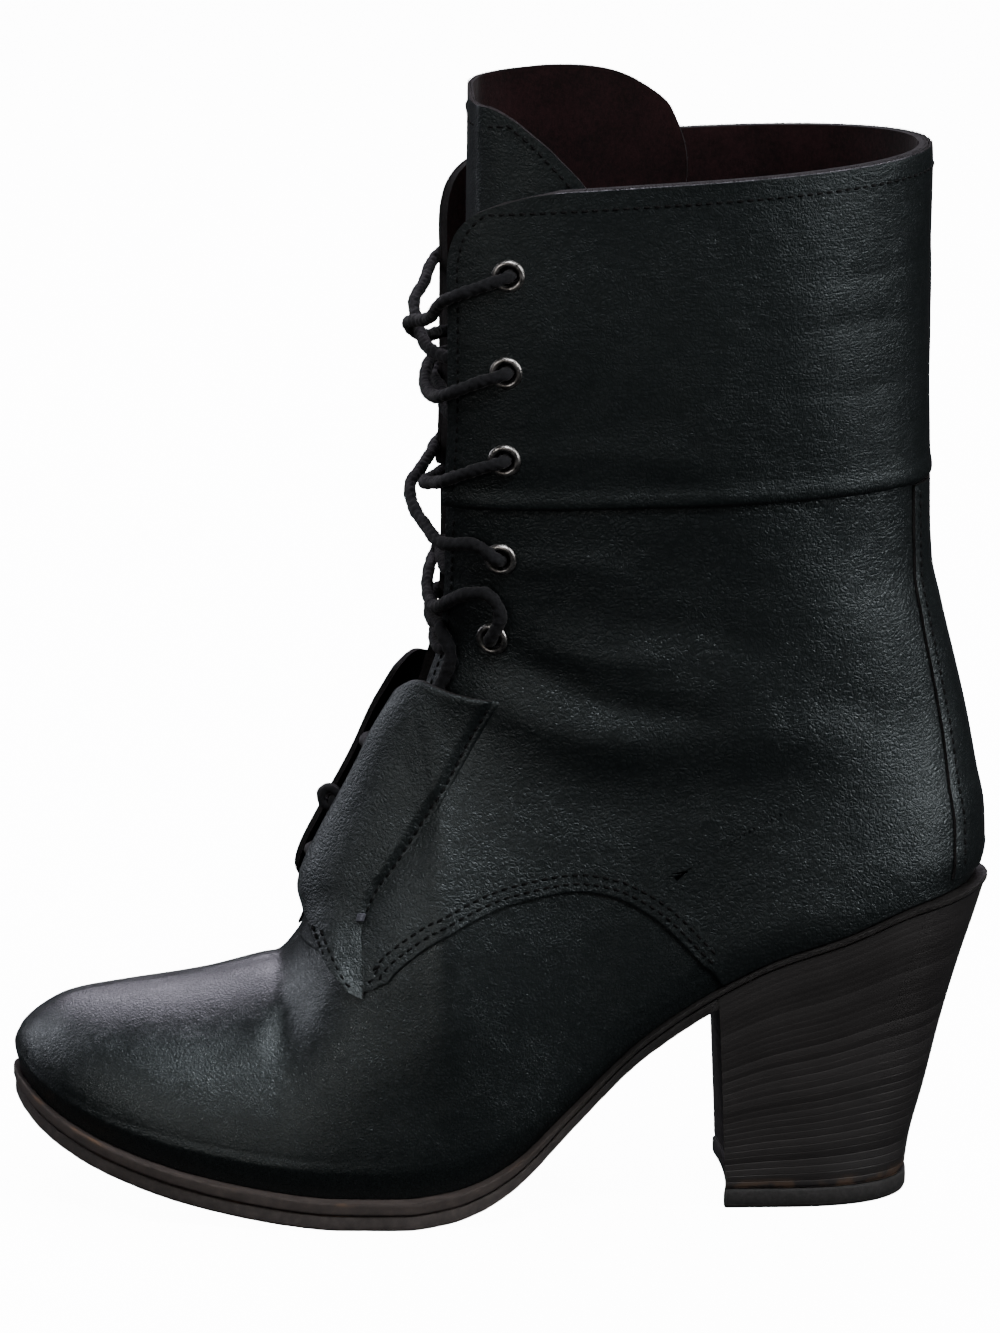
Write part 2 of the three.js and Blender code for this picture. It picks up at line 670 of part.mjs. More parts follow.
// The point of the insole's edge at a given length on one side of the foot.
function insoleEdge(x, side, lift) {
  let low = 0;
  let high = Math.PI;
  for (let i = 0; i < halvings; i += 1) {
    const turn = (low + high) / 2;
    if (form(side === 'lateral' ? turn : mirrorTurn(turn), 0, -insoleGap).x < x) low = turn;
    else high = turn;
  }
  const point = form(side === 'lateral' ? low : mirrorTurn(low), 0, -insoleGap);
  point.z = featherLine(point.x) + lift;
  return point;
}
function insoleGrid(lift) {
  return crossShares.map((share) => (
    ['lateral', 'medial'].map((side) => insoleEdge(share * bootLength, side, lift))));
}
const insole = gridSolid([insoleGrid(insoleRest), insoleGrid(insoleRest + insoleThickness)]);

// Heel stack: its section shrinks from the seat to the floor.
const heelRows = [
  { rise: 0, grow: 0 },
  { rise: 0.1, grow: 0.055 },
  { rise: 0.3, grow: 0.25 },
  { rise: 0.52, grow: 0.45 },
  { rise: 0.75, grow: 0.7 },
  { rise: 0.88, grow: 0.86 },
  { rise: 1, grow: 1 },
];
const heelGrow = column(heelRows, 'rise', 'grow');
const heelShares = [0, 0.16, 0.36, 0.56, 0.74, 0.87, 0.96, 1];
const heelColumns = 4;
const heelAcross = spread(-1, 1, heelColumns);
const heelTipFront = bootLength - heelTipSetback - heelTipLength;
const heelSquare = 2.5;
const heelBendFrom = 0.3;

// The heel's front face is hollow across, and the hollow fades towards the rear.
const hollowFade = 4;
const hollowAt = (share, across) => breastHollow * (1 - across * across) * (1 - share) ** hollowFade;

function heelTipPoint(share, across, proud) {
  const bend = clamp((share - heelBendFrom) / (1 - heelBendFrom), 0, 1);
  const half = (heelTipWidth / 2 + proud) * (1 - bend ** heelSquare) ** (1 / heelSquare);
  const hollow = hollowAt(share, across);
  const x = heelTipFront - proud + share * (heelTipLength + proud * 2) + hollow;
  return new THREE.Vector2(x, across * half);
}

function heelTopPoint(share, across) {
  const along01 = mix(breastShare, 1, share);
  const turn = turnAtShare(along01);
  const lateral = outlinePoint(turn, 'lateral', seatMargin);
  const medial = outlinePoint(turn, 'medial', seatMargin);
  return lateral.lerp(medial, (across + 1) / 2).add(new THREE.Vector2(hollowAt(share, across), 0));
}

const heelFoot = topLiftThickness + seam;
function heelGrid(rise) {
  return heelShares.map((share) => heelAcross.map((across) => {
    const low = heelTipPoint(share, across, 0);
    const high = heelTopPoint(share, across);
    const grow = heelGrow(rise);
    return new THREE.Vector3(mix(low.x, high.x, grow), mix(low.y, high.y, grow),
      mix(heelFoot, outsoleTop(high.x), rise));
  }));
}
const heelLevels = [0, 0.12, 0.3, 0.5, 0.7, 0.85, 1];
const heel = gridSolid(heelLevels.map(heelGrid));

const liftProud = 0.4;
const liftGrid = (z) => heelShares.map((share) => heelAcross.map((across) => {
  const point = heelTipPoint(share, across, liftProud);
  return new THREE.Vector3(point.x, point.y, z);
}));
const topLift = gridSolid([liftGrid(0), liftGrid(topLiftThickness)]);

// Tongue: level on the leg, how far it is drawn in towards the shaft's axis, and how far each side
// reaches round, as a turn. It leans, so its outer side is the shorter one.
const tongueRows = [
  { up: 0.335, draw: 1, lateral: 0.5, medial: 0.5 },
  { up: 0.39, draw: 0.99, lateral: 0.62, medial: 0.62 },
  { up: 0.48, draw: 0.955, lateral: 0.8, medial: 0.85 },
  { up: 0.56, draw: 0.91, lateral: 0.95, medial: 1.05 },
  { up: 0.64, draw: 0.86, lateral: 1.05, medial: 1.2 },
  { up: 0.76, draw: 0.81, lateral: 1.15, medial: 1.4 },
  { up: 0.9, draw: 0.77, lateral: 1.24, medial: 1.68 },
  { up: 0.98, draw: 0.755, lateral: 1.24, medial: 1.8 },
  { up: 1.02, draw: 0.745, lateral: 1.02, medial: 1.72 },
  { up: 1.045, draw: 0.74, lateral: 0.76, medial: 1.5 },
  { up: 1.06, draw: 0.735, lateral: 0.45, medial: 1.15 },
];
const tongueDraw = column(tongueRows, 'up', 'draw');
const tongueReach = {
  lateral: column(tongueRows, 'up', 'lateral'),
  medial: column(tongueRows, 'up', 'medial'),
};
const tongueAxis = 0.588 * bootLength;
const tongueLevels = [0.335, ...levels.filter((up) => up > 0.35 && up < 0.9), 0.97, 1.01, 1.035, 1.05, 1.06];
const tongueGap = 0.8;
const tongueColumns = 10;

function tonguePoint(turn, up, offset) {
  const full = 2 * Math.PI;
  const point = form((turn + full) % full, up, -vampWall - tongueGap + offset);
  const draw = tongueDraw(up);
  return new THREE.Vector3(mix(tongueAxis, point.x, draw), point.y * draw, point.z);
}
function tongueGrid(offset) {
  return tongueLevels.map((up) => spread(-tongueReach.medial(up), tongueReach.lateral(up), tongueColumns)
    .map((turn) => tonguePoint(turn, up, offset)));
}
const tongue = slab(tongueGrid(0), tongueGrid(-tongueWall));

// Flaps: the stitched rear edge and the free edge, from the foot of the leaf to its top.
const flapRows = [
  { at: 0.355, rise: -0.128, freeRise: -0.118, freeGap: 0.41, lift: 0.4 },
  { at: 0.356, rise: -0.09, freeRise: -0.098, freeGap: 0.325, lift: 1.6 },
  { at: 0.357, rise: -0.05, freeRise: -0.071, freeGap: 0.235, lift: 3.2 },
  { at: 0.362, rise: -0.017, freeRise: -0.046, freeGap: 0.165, lift: 4.5 },
  { at: 0.374, rise: 0.012, freeRise: -0.021, freeGap: 0.125, lift: 5.2 },
  { at: 0.389, rise: 0.04, freeRise: 0.019, freeGap: 0.11, lift: 6 },
  { at: 0.416, rise: 0.096, freeRise: 0.076, freeGap: 0.11, lift: 6.4 },
  { at: 0.443, rise: 0.155, freeRise: 0.152, freeGap: 0.11, lift: 6.3 },
  { at: 0.466, rise: 0.216, freeRise: 0.22, freeGap: 0.115, lift: 5.8 },
  { at: 0.49, rise: 0.268, freeRise: 0.264, freeGap: 0.145, lift: 4.4 },
];
const flapPlay = 0.1;
const flapFoot = quarterStep + seam + flapPlay;
const flapColumns = 5;

// The level of the front line that has a given height.
const frontUpAtHeight = reading(samples.map((up) => ({ from: frontZ(up), to: up })));

function flapGrid(side, raise) {
  return flapRows.map((row) => {
    const rear = locate(row.at * bootLength, seatZ + row.rise * shaftHeight);
    const freeUp = frontUpAtHeight(seatZ + row.freeRise * shaftHeight);
    const freeTurn = turnAtSpread(freeUp, row.freeGap * shaftWidth);
    return spread(0, 1, flapColumns).map((v) => {
      const turn = mix(rear.turn, freeTurn, v);
      const up = mix(rear.up, freeUp, v);
      const lift = flapFoot + row.lift * ease(v) + raise;
      return form(side === 'lateral' ? turn : mirrorTurn(turn), up, lift);
    });
  });
}
const flapLateral = slab(flapGrid('lateral', 0), flapGrid('lateral', flapWall));
const flapMedial = slab(flapGrid('medial', flapWall), flapGrid('medial', 0));

// A round cord along a smooth path through points.
function cord(points, radius, steps, sides = 6) {
  const curve = new THREE.CatmullRomCurve3(points, false, 'centripetal');
  const frames = curve.computeFrenetFrames(steps, false);
  const rings = spread(0, 1, steps).map((t, i) => {
    const centre = curve.getPointAt(t);
    return Array.from({ length: sides }, (_, j) => {
      const angle = (2 * Math.PI * j) / sides;
      return centre.clone().addScaledVector(frames.normals[i], radius * Math.cos(angle))
        .addScaledVector(frames.binormals[i], radius * Math.sin(angle));
    });
  });
  const vertices = rings.flat();
  const faces = [];
  for (let i = 0; i < steps; i += 1) {
    for (let j = 0; j < sides; j += 1) {
      const k = (j + 1) % sides;
      faces.push(...quads(vertices, i * sides + j, i * sides + k, (i + 1) * sides + k, (i + 1) * sides + j));
    }
  }
  const last = steps * sides;
  for (let j = 1; j < sides - 1; j += 1) {
    faces.push([0, j + 1, j]);
    faces.push([last, last + j, last + j + 1]);
  }
  return geometryOf(vertices, faces);
}

const flip = (point) => new THREE.Vector3(point.x, -point.y, point.z);
const laceLift = eyeletLift + eyeletFlangeHeight + seam + laceRadius;
const laceClearance = 1.9;
const laceBulgeAt = 0.405 * bootLength;
const laceBulgeStep = 0.9;
const crossingSteps = 12;
const lowCrossingSteps = 10;
const barSteps = 8;
const throatGap = column(throatRows, 'leg', 'gap');

// The facing's edge at a given height on the outer side.
function facingEdge(z, offset, shift) {
  const up = frontUpAtHeight(z);
  const gap = throatGap((z - legFloor) / legHeight) * shaftWidth;
  return form(turnAtSpread(up, gap + shift), up, offset);
}

// Where a strand's points lie, as shares of the way to the next eyelet, with the lift off the leather
// and the way past the facing's edge of those that have them.
const strandShares = { towardsFront: 0.8, leave: 0.1, over: 0.22, cross: 0.6, inside: 0.82, end: 0.9 };
const strandEdges = { over: 1, inside: -5, end: -4.5 };
const strandLifts = { inside: -0.4, end: -4.5 };

// A strand that leaves one eyelet over its facing, crosses in front and dives inside the other facing.
function strand(row, lowerRow, bulge) {
  const from = eyeletSeat(row, 'lateral');
  const to = eyeletSeat(lowerRow, 'lateral');
  const heightAt = (f) => mix(from.origin.z, to.origin.z, f);
  const face = row.onCuff ? cuffOuter : quarterStep;
  const clear = face + laceRadius + laceClearance;
  const over = facingEdge(heightAt(strandShares.over), clear, strandEdges.over);
  const between = form(from.turn * strandShares.towardsFront, mix(from.up, to.up, strandShares.leave), clear);
  const inside = facingEdge(heightAt(strandShares.inside), strandLifts.inside, strandEdges.inside);
  const end = facingEdge(heightAt(strandShares.end), strandLifts.end, strandEdges.end);
  return [
    from.origin.clone().addScaledVector(from.out, laceLift),
    between,
    over,
    new THREE.Vector3(bulge, 0, heightAt(strandShares.cross)),
    flip(inside),
    flip(end),
  ];
}

const crossings = eyeletRows.slice(0, -1).map((row, i) => {
  const points = strand(row, eyeletRows[i + 1], laceBulgeAt + i * laceBulgeStep);
  const one = toManifold(cord(points, laceRadius, crossingSteps));
  const two = toManifold(cord(points.map(flip), laceRadius, crossingSteps));
  return { name: `lace_crossing_${i + 1}`, geometry: fromManifold(one.add(two)) };
});

// The lowest crossing goes down between the flaps.
const lowRow = eyeletRows[eyeletRows.length - 1];
const lowSeat = eyeletSeat(lowRow, 'lateral');
const lowClear = quarterStep + laceRadius + laceClearance;
const lowCrossAt = { at: 0.408, middle: 0.3, end: 0.262, endAt: 0.412, endGap: 0.055 };
const lowPoints = [
  lowSeat.origin.clone().addScaledVector(lowSeat.out, laceLift),
  form(lowSeat.turn * strandShares.towardsFront, lowSeat.up, lowClear),
  facingEdge(lowSeat.origin.z - laceRadius, lowClear, strandEdges.over),
  new THREE.Vector3(lowCrossAt.at * bootLength, 0, seatZ + lowCrossAt.middle * shaftHeight),
  new THREE.Vector3(lowCrossAt.endAt * bootLength, lowCrossAt.endGap * shaftWidth,
    seatZ + lowCrossAt.end * shaftHeight),
];
crossings.push({
  name: 'lace_crossing_5',
  geometry: fromManifold(toManifold(cord(lowPoints, laceRadius, lowCrossingSteps))
    .add(toManifold(cord(lowPoints.map(flip), laceRadius, lowCrossingSteps)))),
});

// Bars of the lower lacing, whose ends lie under the flaps.
const barRows = [
  { name: 'lace_bar_1', rise: 0.17 },
  { name: 'lace_bar_2', rise: 0.02 },
];
const barArch = [
  { y: 10.5, lift: 2.8 },
  { y: 7, lift: 3.6 },
  { y: 3.5, lift: 5 },
  { y: 0, lift: 5.4 },
];
function archPoints(rise) {
  const up = frontUpAtHeight(seatZ + rise * shaftHeight);
  const half = barArch.map((row) => form(turnAtSpread(up, row.y), up, row.lift));
  return [...half, ...half.slice(0, -1).reverse().map(flip)];
}
const bars = barRows.map((row) => (
  { name: row.name, geometry: cord(archPoints(row.rise), laceRadius, barSteps) }));

// The small knot between the flaps, with its two short ends, as one free cord.
const knotRise = 0.09;
const knotUp = frontUpAtHeight(seatZ + knotRise * shaftHeight);
const knotRadius = 2.6;
const knotHalf = 3;
const knotLift = 6.9;
const knotSides = 8;
const knotAt = form(0, knotUp, knotLift);
const knotPoints = [-1, 0, 1].map((v) => knotAt.clone().add(new THREE.Vector3(0, v * knotHalf, 0)));
const tieRadius = 1.28;
const tieSteps = 20;
const tieRows = [
  { y: 2, lift: 5.6, drop: 0.002 },
  { y: 4.2, lift: 3, drop: 0.02 },
  { y: 7.3, lift: 2.5, drop: 0.037 },
  { y: 10.5, lift: 2.5, drop: 0.034 },
  { y: 13, lift: 2.5, drop: 0.018 },
];
const tieSide = tieRows.map((row) => {
  const up = frontUpAtHeight(seatZ + (knotRise - row.drop) * shaftHeight);
  return form(turnAtSpread(up, row.y), up, row.lift);
});
const tiePoints = [...[...tieSide].reverse(), ...tieSide.map(flip)];
const tie = fromManifold(toManifold(cord(tiePoints, tieRadius, tieSteps))
  .add(toManifold(cord(knotPoints, knotRadius, 2, knotSides))));

const colours = {
  leather: '#16191a',
  sole: '#2b2725',
  heel: '#1c1a1a',
  rubber: '#1b1b1b',
  metal: '#8a8a86',
  cord: '#1a1b1c',
};
const looks = {
  leather: { color: colours.leather, roughness: 0.55, metalness: 0 },
  sole: { color: colours.sole, roughness: 0.75, metalness: 0 },
  heel: { color: colours.heel, roughness: 0.5, metalness: 0 },
  rubber: { color: colours.rubber, roughness: 0.8, metalness: 0 },
  metal: { color: colours.metal, roughness: 0.4, metalness: 1 },
  cord: { color: colours.cord, roughness: 0.9, metalness: 0 },
};
const materials = Object.fromEntries(Object.entries(looks).map(([name, look]) => (
  [name, new THREE.MeshStandardMaterial({ name, ...look })])));

const group = new THREE.Group();
group.name = 'lace_up_heeled_boot';
function place(name, geometry, material) {
  const finished = geometry.clone();
  finished.deleteAttribute('uv');
  finished.deleteAttribute('normal');
  finished.computeVertexNormals();
  const mesh = new THREE.Mesh(finished, materials[material]);
  mesh.name = name;
  group.add(mesh);
}
place('outsole', outsole, 'sole');
place('midsole', midsole, 'sole');
place('insole', insole, 'leather');
place('heel', heel, 'heel');
place('top_lift', topLift, 'rubber');
place('upper', fromManifold(upper), 'leather');
place('cuff', fromManifold(cuff), 'leather');
place('back_strip', backStrip, 'leather');
place('flap_lateral', flapLateral, 'leather');
place('flap_medial', flapMedial, 'leather');
place('tongue', tongue, 'leather');
seats.forEach((entry) => place(entry.name, eyeletRing(entry.seat), 'metal'));
crossings.forEach((entry) => place(entry.name, entry.geometry, 'cord'));
bars.forEach((entry) => place(entry.name, entry.geometry, 'cord'));
const freeCord = 'lace_tie';
place(freeCord, tie, 'cord');

// The origin is the middle of the underside of the boot's box, without the free cord.
const box = new THREE.Box3();
group.children.filter((mesh) => mesh.name !== freeCord).forEach((mesh) => box.expandByObject(mesh));
const middle = box.getCenter(new THREE.Vector3());
group.children.forEach((mesh) => mesh.geometry.translate(-middle.x, -middle.y, -box.min.z));

export default group;
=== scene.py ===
import math

import bmesh
import bpy
import numpy as np
from bpy.props import FloatProperty, FloatVectorProperty, PointerProperty
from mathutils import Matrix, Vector


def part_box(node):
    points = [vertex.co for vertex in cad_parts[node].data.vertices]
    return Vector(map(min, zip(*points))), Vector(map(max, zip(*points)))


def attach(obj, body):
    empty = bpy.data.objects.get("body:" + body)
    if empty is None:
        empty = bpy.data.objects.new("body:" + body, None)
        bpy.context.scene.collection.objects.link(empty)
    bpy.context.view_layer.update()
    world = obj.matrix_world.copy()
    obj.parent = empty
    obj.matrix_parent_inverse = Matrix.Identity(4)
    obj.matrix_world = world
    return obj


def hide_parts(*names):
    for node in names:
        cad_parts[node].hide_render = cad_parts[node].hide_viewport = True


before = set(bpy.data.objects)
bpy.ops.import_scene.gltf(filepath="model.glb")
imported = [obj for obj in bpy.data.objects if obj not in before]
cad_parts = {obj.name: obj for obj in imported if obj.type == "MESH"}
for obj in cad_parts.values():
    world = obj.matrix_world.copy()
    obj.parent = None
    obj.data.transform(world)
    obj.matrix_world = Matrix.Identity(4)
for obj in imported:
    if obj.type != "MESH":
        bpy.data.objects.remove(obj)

bl_info = {
    "name": "Laced boot dressing",
    "version": (1, 0, 0),
    "blender": (4, 5, 0),
    "location": "3D View > Sidebar > Boot",
    "description": "Builds the leather, laces, stitches, sole and heel of a laced boot around its frame",
    "category": "Object",
}

MM = 0.001
BODY = "root"
FULL = 2 * math.pi

# Places read from the frame: the toe end of the sole, its two ends, and the middle plane of the lacing
SOLE_LOW, SOLE_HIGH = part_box("midsole")
BAR_LOW, BAR_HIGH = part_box("lace_bar_1")
TOE_X = SOLE_LOW.x
MIDDLE_Y = (BAR_LOW.y + BAR_HIGH.y) / 2
SOLE_SPAN = SOLE_HIGH.x - SOLE_LOW.x


class BootSizes(bpy.types.PropertyGroup):
    """Sizes of the boot's form, walls, seams and lace."""

    boot_length: FloatProperty(name="Boot length", description="Sole from toe to heel", default=SOLE_SPAN,
                               unit="LENGTH")
    sole_width: FloatProperty(name="Sole width", description="Sole across the ball of the foot",
                              default=87 * MM, unit="LENGTH")
    toe_spring: FloatProperty(name="Toe spring", description="Height of the sole's toe over the floor",
                              default=24 * MM, unit="LENGTH")
    seat_height: FloatProperty(name="Seat height", description="Height of the sole's rear end over the floor",
                               default=75.3 * MM, unit="LENGTH")
    vamp_height: FloatProperty(name="Vamp height", description="Instep over the sole where the shaft begins",
                               default=51 * MM, unit="LENGTH")
    shaft_height: FloatProperty(name="Shaft height", description="Collar over the seat",
                                default=184 * MM, unit="LENGTH")
    shaft_width: FloatProperty(name="Shaft width", description="Shaft across the collar",
                               default=77 * MM, unit="LENGTH")
    leather_wall: FloatProperty(name="Leather wall", description="Thickness of vamp and lining together",
                                default=1.4 * MM, unit="LENGTH")
    quarter_step: FloatProperty(name="Quarter step", description="How far the quarter stands over the vamp",
                                default=0.8 * MM, unit="LENGTH")
    cuff_wall: FloatProperty(name="Cuff wall", description="Thickness of the cuff", default=0.9 * MM,
                             unit="LENGTH")
    seam_gap: FloatProperty(name="Seam gap", description="Room between neighbouring layers",
                            default=0.3 * MM, unit="LENGTH")
    lace_radius: FloatProperty(name="Lace radius", description="Half the thickness of the lace",
                               default=1.65 * MM, unit="LENGTH")
    stitch_length: FloatProperty(name="Stitch length", description="One stitch from hole to hole",
                                 default=2.5 * MM, unit="LENGTH")
    stitch_radius: FloatProperty(name="Thread radius", description="Half the thickness of the thread",
                                 default=0.38 * MM, unit="LENGTH")
    grain_size: FloatProperty(name="Grain size", description="Width of one cell of the leather's grain",
                              default=1.1 * MM, unit="LENGTH")


class BootColours(bpy.types.PropertyGroup):
    """Colours of the boot's finishes."""

    leather: FloatVectorProperty(name="Leather", description="Dark ground of the leather", size=3,
                                 subtype="COLOR", default=(0.0026, 0.0036, 0.0037))
    leather_worn: FloatVectorProperty(name="Leather bloom", description="Lighter bloom of the leather",
                                      size=3, subtype="COLOR", default=(0.0058, 0.0076, 0.0078))
    suede: FloatVectorProperty(name="Suede", description="Oxblood suede lining", size=3, subtype="COLOR",
                               default=(0.0068, 0.0019, 0.0023))
    raw_edge: FloatVectorProperty(name="Raw edge", description="Cut edge of the leather", size=3,
                                  subtype="COLOR", default=(0.013, 0.0115, 0.012))
    welt: FloatVectorProperty(name="Welt", description="Worn edge of the welt", size=3, subtype="COLOR",
                              default=(0.03, 0.024, 0.022))
    sole: FloatVectorProperty(name="Sole", description="Edge and underside of the outsole", size=3,
                              subtype="COLOR", default=(0.036, 0.0305, 0.029))
    wear: FloatVectorProperty(name="Wear", description="Tan where the sole's colour is worn off", size=3,
                              subtype="COLOR", default=(0.14, 0.08, 0.045))
    heel: FloatVectorProperty(name="Heel", description="Stacked leather of the heel", size=3,
                              subtype="COLOR", default=(0.0105, 0.0095, 0.0095))
    rubber: FloatVectorProperty(name="Rubber", description="Rubber piece under the heel", size=3,
                                subtype="COLOR", default=(0.0095, 0.009, 0.009))
    metal: FloatVectorProperty(name="Eyelets", description="Antique silver of the eyelets", size=3,
                               subtype="COLOR", default=(0.36, 0.35, 0.34))
    lace: FloatVectorProperty(name="Lace", description="Charcoal lace", size=3, subtype="COLOR",
                              default=(0.0036, 0.0037, 0.0045))
    thread: FloatVectorProperty(name="Thread", description="Black thread of the seams", size=3,
                                subtype="COLOR", default=(0.0015, 0.0016, 0.0018))
    floor: FloatVectorProperty(name="Floor", description="Pale floor", size=3, subtype="COLOR",
                               default=(0.86, 0.86, 0.87))


def mix(a, b, share):
    """The value at a share of the way from a to b."""
    return a + (b - a) * share


def ease(value):
    """Zero below 0, one above 1, and a smooth rise between."""
    value = np.clip(value, 0, 1)
    return value * value * (3 - 2 * value)


def along(turn):
    """Share of the boot's length at a turn, from the toe at 0 to the back at half a turn."""
    return (1 - np.cos(turn)) / 2


def turn_at(share):
    """The turn at a share of the boot's length."""
    return np.arccos(1 - 2 * np.clip(share, 0, 1))


def unit(vectors):
    """Vectors of length one."""
    return vectors / np.maximum(np.linalg.norm(vectors, axis=-1, keepdims=True), 1e-12)


def run_along(points):
    """The length run along a line of points when each point is reached."""
    return np.concatenate([[0], np.cumsum(np.linalg.norm(np.diff(points, axis=0), axis=1))])


def points_at(at, reached, points):
    """Points of a line at some lengths along it, where reached holds the length at each known point."""
    return np.stack([np.interp(at, reached, points[:, k]) for k in range(3)], 1)


class Column:
    """Smooth monotone curve through one column of a table, against another."""

    def __init__(self, keys, values):
        self.x = np.array(keys, float)
        self.y = np.array(values, float)
        slope = np.diff(self.y) / np.diff(self.x)
        tangent = np.empty_like(self.y)
        tangent[0], tangent[-1] = slope[0], slope[-1]
        a, b = slope[:-1], slope[1:]
        left, middle, right = self.x[:-2], self.x[1:-1], self.x[2:]
        same = a * b > 0
        safe_a, safe_b = np.where(same, a, 1), np.where(same, b, 1)
        parts = (right * 2 - middle - left) / safe_a + (right + middle - left * 2) / safe_b
        tangent[1:-1] = np.where(same, 3 * (right - left) / parts, 0)
        self.tangent = tangent

    def __call__(self, value):
        value = np.asarray(value, float)
        i = np.searchsorted(self.x[1:-1], value, "left")
        h = self.x[i + 1] - self.x[i]
        f = (value - self.x[i]) / h
        y0, y1, t0, t1 = self.y[i], self.y[i + 1], self.tangent[i], self.tangent[i + 1]
        inside = (y0 * (1 + 2 * f) * (1 - f) ** 2 + t0 * h * f * (1 - f) ** 2
                  + y1 * f * f * (3 - 2 * f) + t1 * h * f * f * (f - 1))
        low = y0 + t0 * (value - self.x[i])
        high = y1 + t1 * (value - self.x[i + 1])
        return np.where(f < 0, low, np.where(f > 1, high, inside))


def columns(names, rows):
    """The smooth curves of a table against its first column, by name."""
    table = np.array(rows, float)
    return {name: Column(table[:, 0], table[:, i]) for i, name in enumerate(names) if i}


class Reading:
    """Straight reading of one list against another, carried on past its lower end."""

    def __init__(self, keys, values):
        best = np.maximum.accumulate(keys)
        kept = np.concatenate([[True], keys[1:] > best[:-1]])
        self.x, self.y = keys[kept], values[kept]

    def __call__(self, value):
        first = (self.y[1] - self.y[0]) / (self.x[1] - self.x[0])
        below = np.minimum(np.asarray(value, float) - self.x[0], 0) * first
        return np.interp(value, self.x, self.y) + below


# Underside of the sole against the length: shares of the toe spring and of the seat height
UNDERSIDE = columns(("at", "spring", "seat"), (
    (0.0, 1.0, 0), (0.04, 0.71, 0), (0.08, 0.52, 0), (0.132, 0.34, 0), (0.185, 0.205, 0), (0.24, 0.1, 0),
    (0.29, 0.03, 0), (0.33, 0, 0), (0.395, 0, 0), (0.445, 0, 0.02), (0.476, 0, 0.056), (0.51, 0, 0.125),
    (0.562, 0, 0.291), (0.638, 0, 0.527), (0.69, 0, 0.641), (0.73, 0, 0.713), (0.775, 0, 0.784),
    (0.844, 0, 0.86), (0.93, 0, 0.962), (1.0, 0, 1.0),
))

# Outline of the sole from below: shares of its width on each side of the last's centre line
OUTLINE_ROWS = (
    (0, 0, 0), (0.025, 0.218, 0.215), (0.1, 0.388, 0.385), (0.2, 0.474, 0.474), (0.3, 0.503, 0.494),
    (0.38, 0.507, 0.472), (0.5, 0.466, 0.385), (0.62, 0.388, 0.312), (0.74, 0.345, 0.318),
    (0.84, 0.35, 0.342), (0.93, 0.308, 0.305), (1, 0, 0),
)
OUTLINE = columns(("turn", "lateral", "medial"),
                  [(float(turn_at(at)), lateral, medial) for at, lateral, medial in OUTLINE_ROWS])

# Front line of the closed boot against the level: length share, vamp share and leg share
FRONT = columns(("up", "at", "vamp", "leg"), (
    (0, 0.006, 0, 0), (0.03, 0.0015, 0.1, 0), (0.06, 0.0075, 0.2, 0), (0.09, 0.023, 0.335, 0),
    (0.13, 0.054, 0.51, 0), (0.19, 0.116, 0.69, 0), (0.26, 0.2, 0.855, 0), (0.32, 0.268, 0.985, 0),
    (0.355, 0.291, 1, 0.027), (0.385, 0.305, 1, 0.062), (0.43, 0.322, 1, 0.115), (0.48, 0.347, 1, 0.184),
    (0.54, 0.386, 1, 0.276), (0.6, 0.42, 1, 0.36), (0.66, 0.434, 1, 0.438), (0.76, 0.428, 1, 0.595),
    (0.87, 0.421, 1, 0.785), (1, 0.417, 1, 1),
))

# Back line against the level: length share and share of the shaft height over the seat
BACK = columns(("up", "at", "rise"), (
    (0, 0.983, 0), (0.06, 0.9895, 0.041), (0.13, 0.988, 0.09), (0.2, 0.98, 0.144), (0.3, 0.97, 0.215),
    (0.4, 0.956, 0.297), (0.5, 0.942, 0.373), (0.58, 0.932, 0.432), (0.76, 0.9285, 0.545),
    (0.88, 0.928, 0.77), (1, 0.928, 1),
))

# Shaft sections against the height over the seat: half width share, bluntness of the front, widest place
SHAFT = columns(("rise", "half", "blunt", "widest"), (
    (-0.3, 0.42, 2.1, 0.42), (0, 0.41, 2.1, 0.45), (0.15, 0.4, 2.2, 0.46), (0.3, 0.392, 2.6, 0.47),
    (0.42, 0.405, 3.4, 0.48), (0.55, 0.44, 4.1, 0.48), (0.8, 0.485, 4.6, 0.48), (1, 0.5, 4.8, 0.48),
))

# Half the throat's opening against the height on the leg, as a share of the shaft width
THROAT = columns(("leg", "gap"), (
    (0.055, 0), (0.06, 0.05), (0.085, 0.09), (0.2, 0.097), (0.36, 0.115), (0.42, 0.16), (0.5, 0.235),
    (0.6, 0.31), (0.72, 0.372), (0.85, 0.405), (0.91, 0.413), (0.94, 0.425), (0.962, 0.443),
    (0.98, 0.465), (0.992, 0.484), (1.2, 0.6),
))["gap"]
THROAT_FLOOR = 0.09

# Lower edge of the quarter in side view: length share, and height as a share of the seat height
QUARTER_EDGE = columns(("at", "rise"), (
    (0.31, 0.87), (0.325, 0.86), (0.345, 0.795), (0.362, 0.752), (0.394, 0.858), (0.444, 0.968),
    (0.514, 1.066), (0.575, 1.098), (0.61, 1.078), (0.647, 1.015), (0.698, 0.855), (0.722, 0.76),
    (0.728, 0.5), (0.732, -3),
))["rise"]

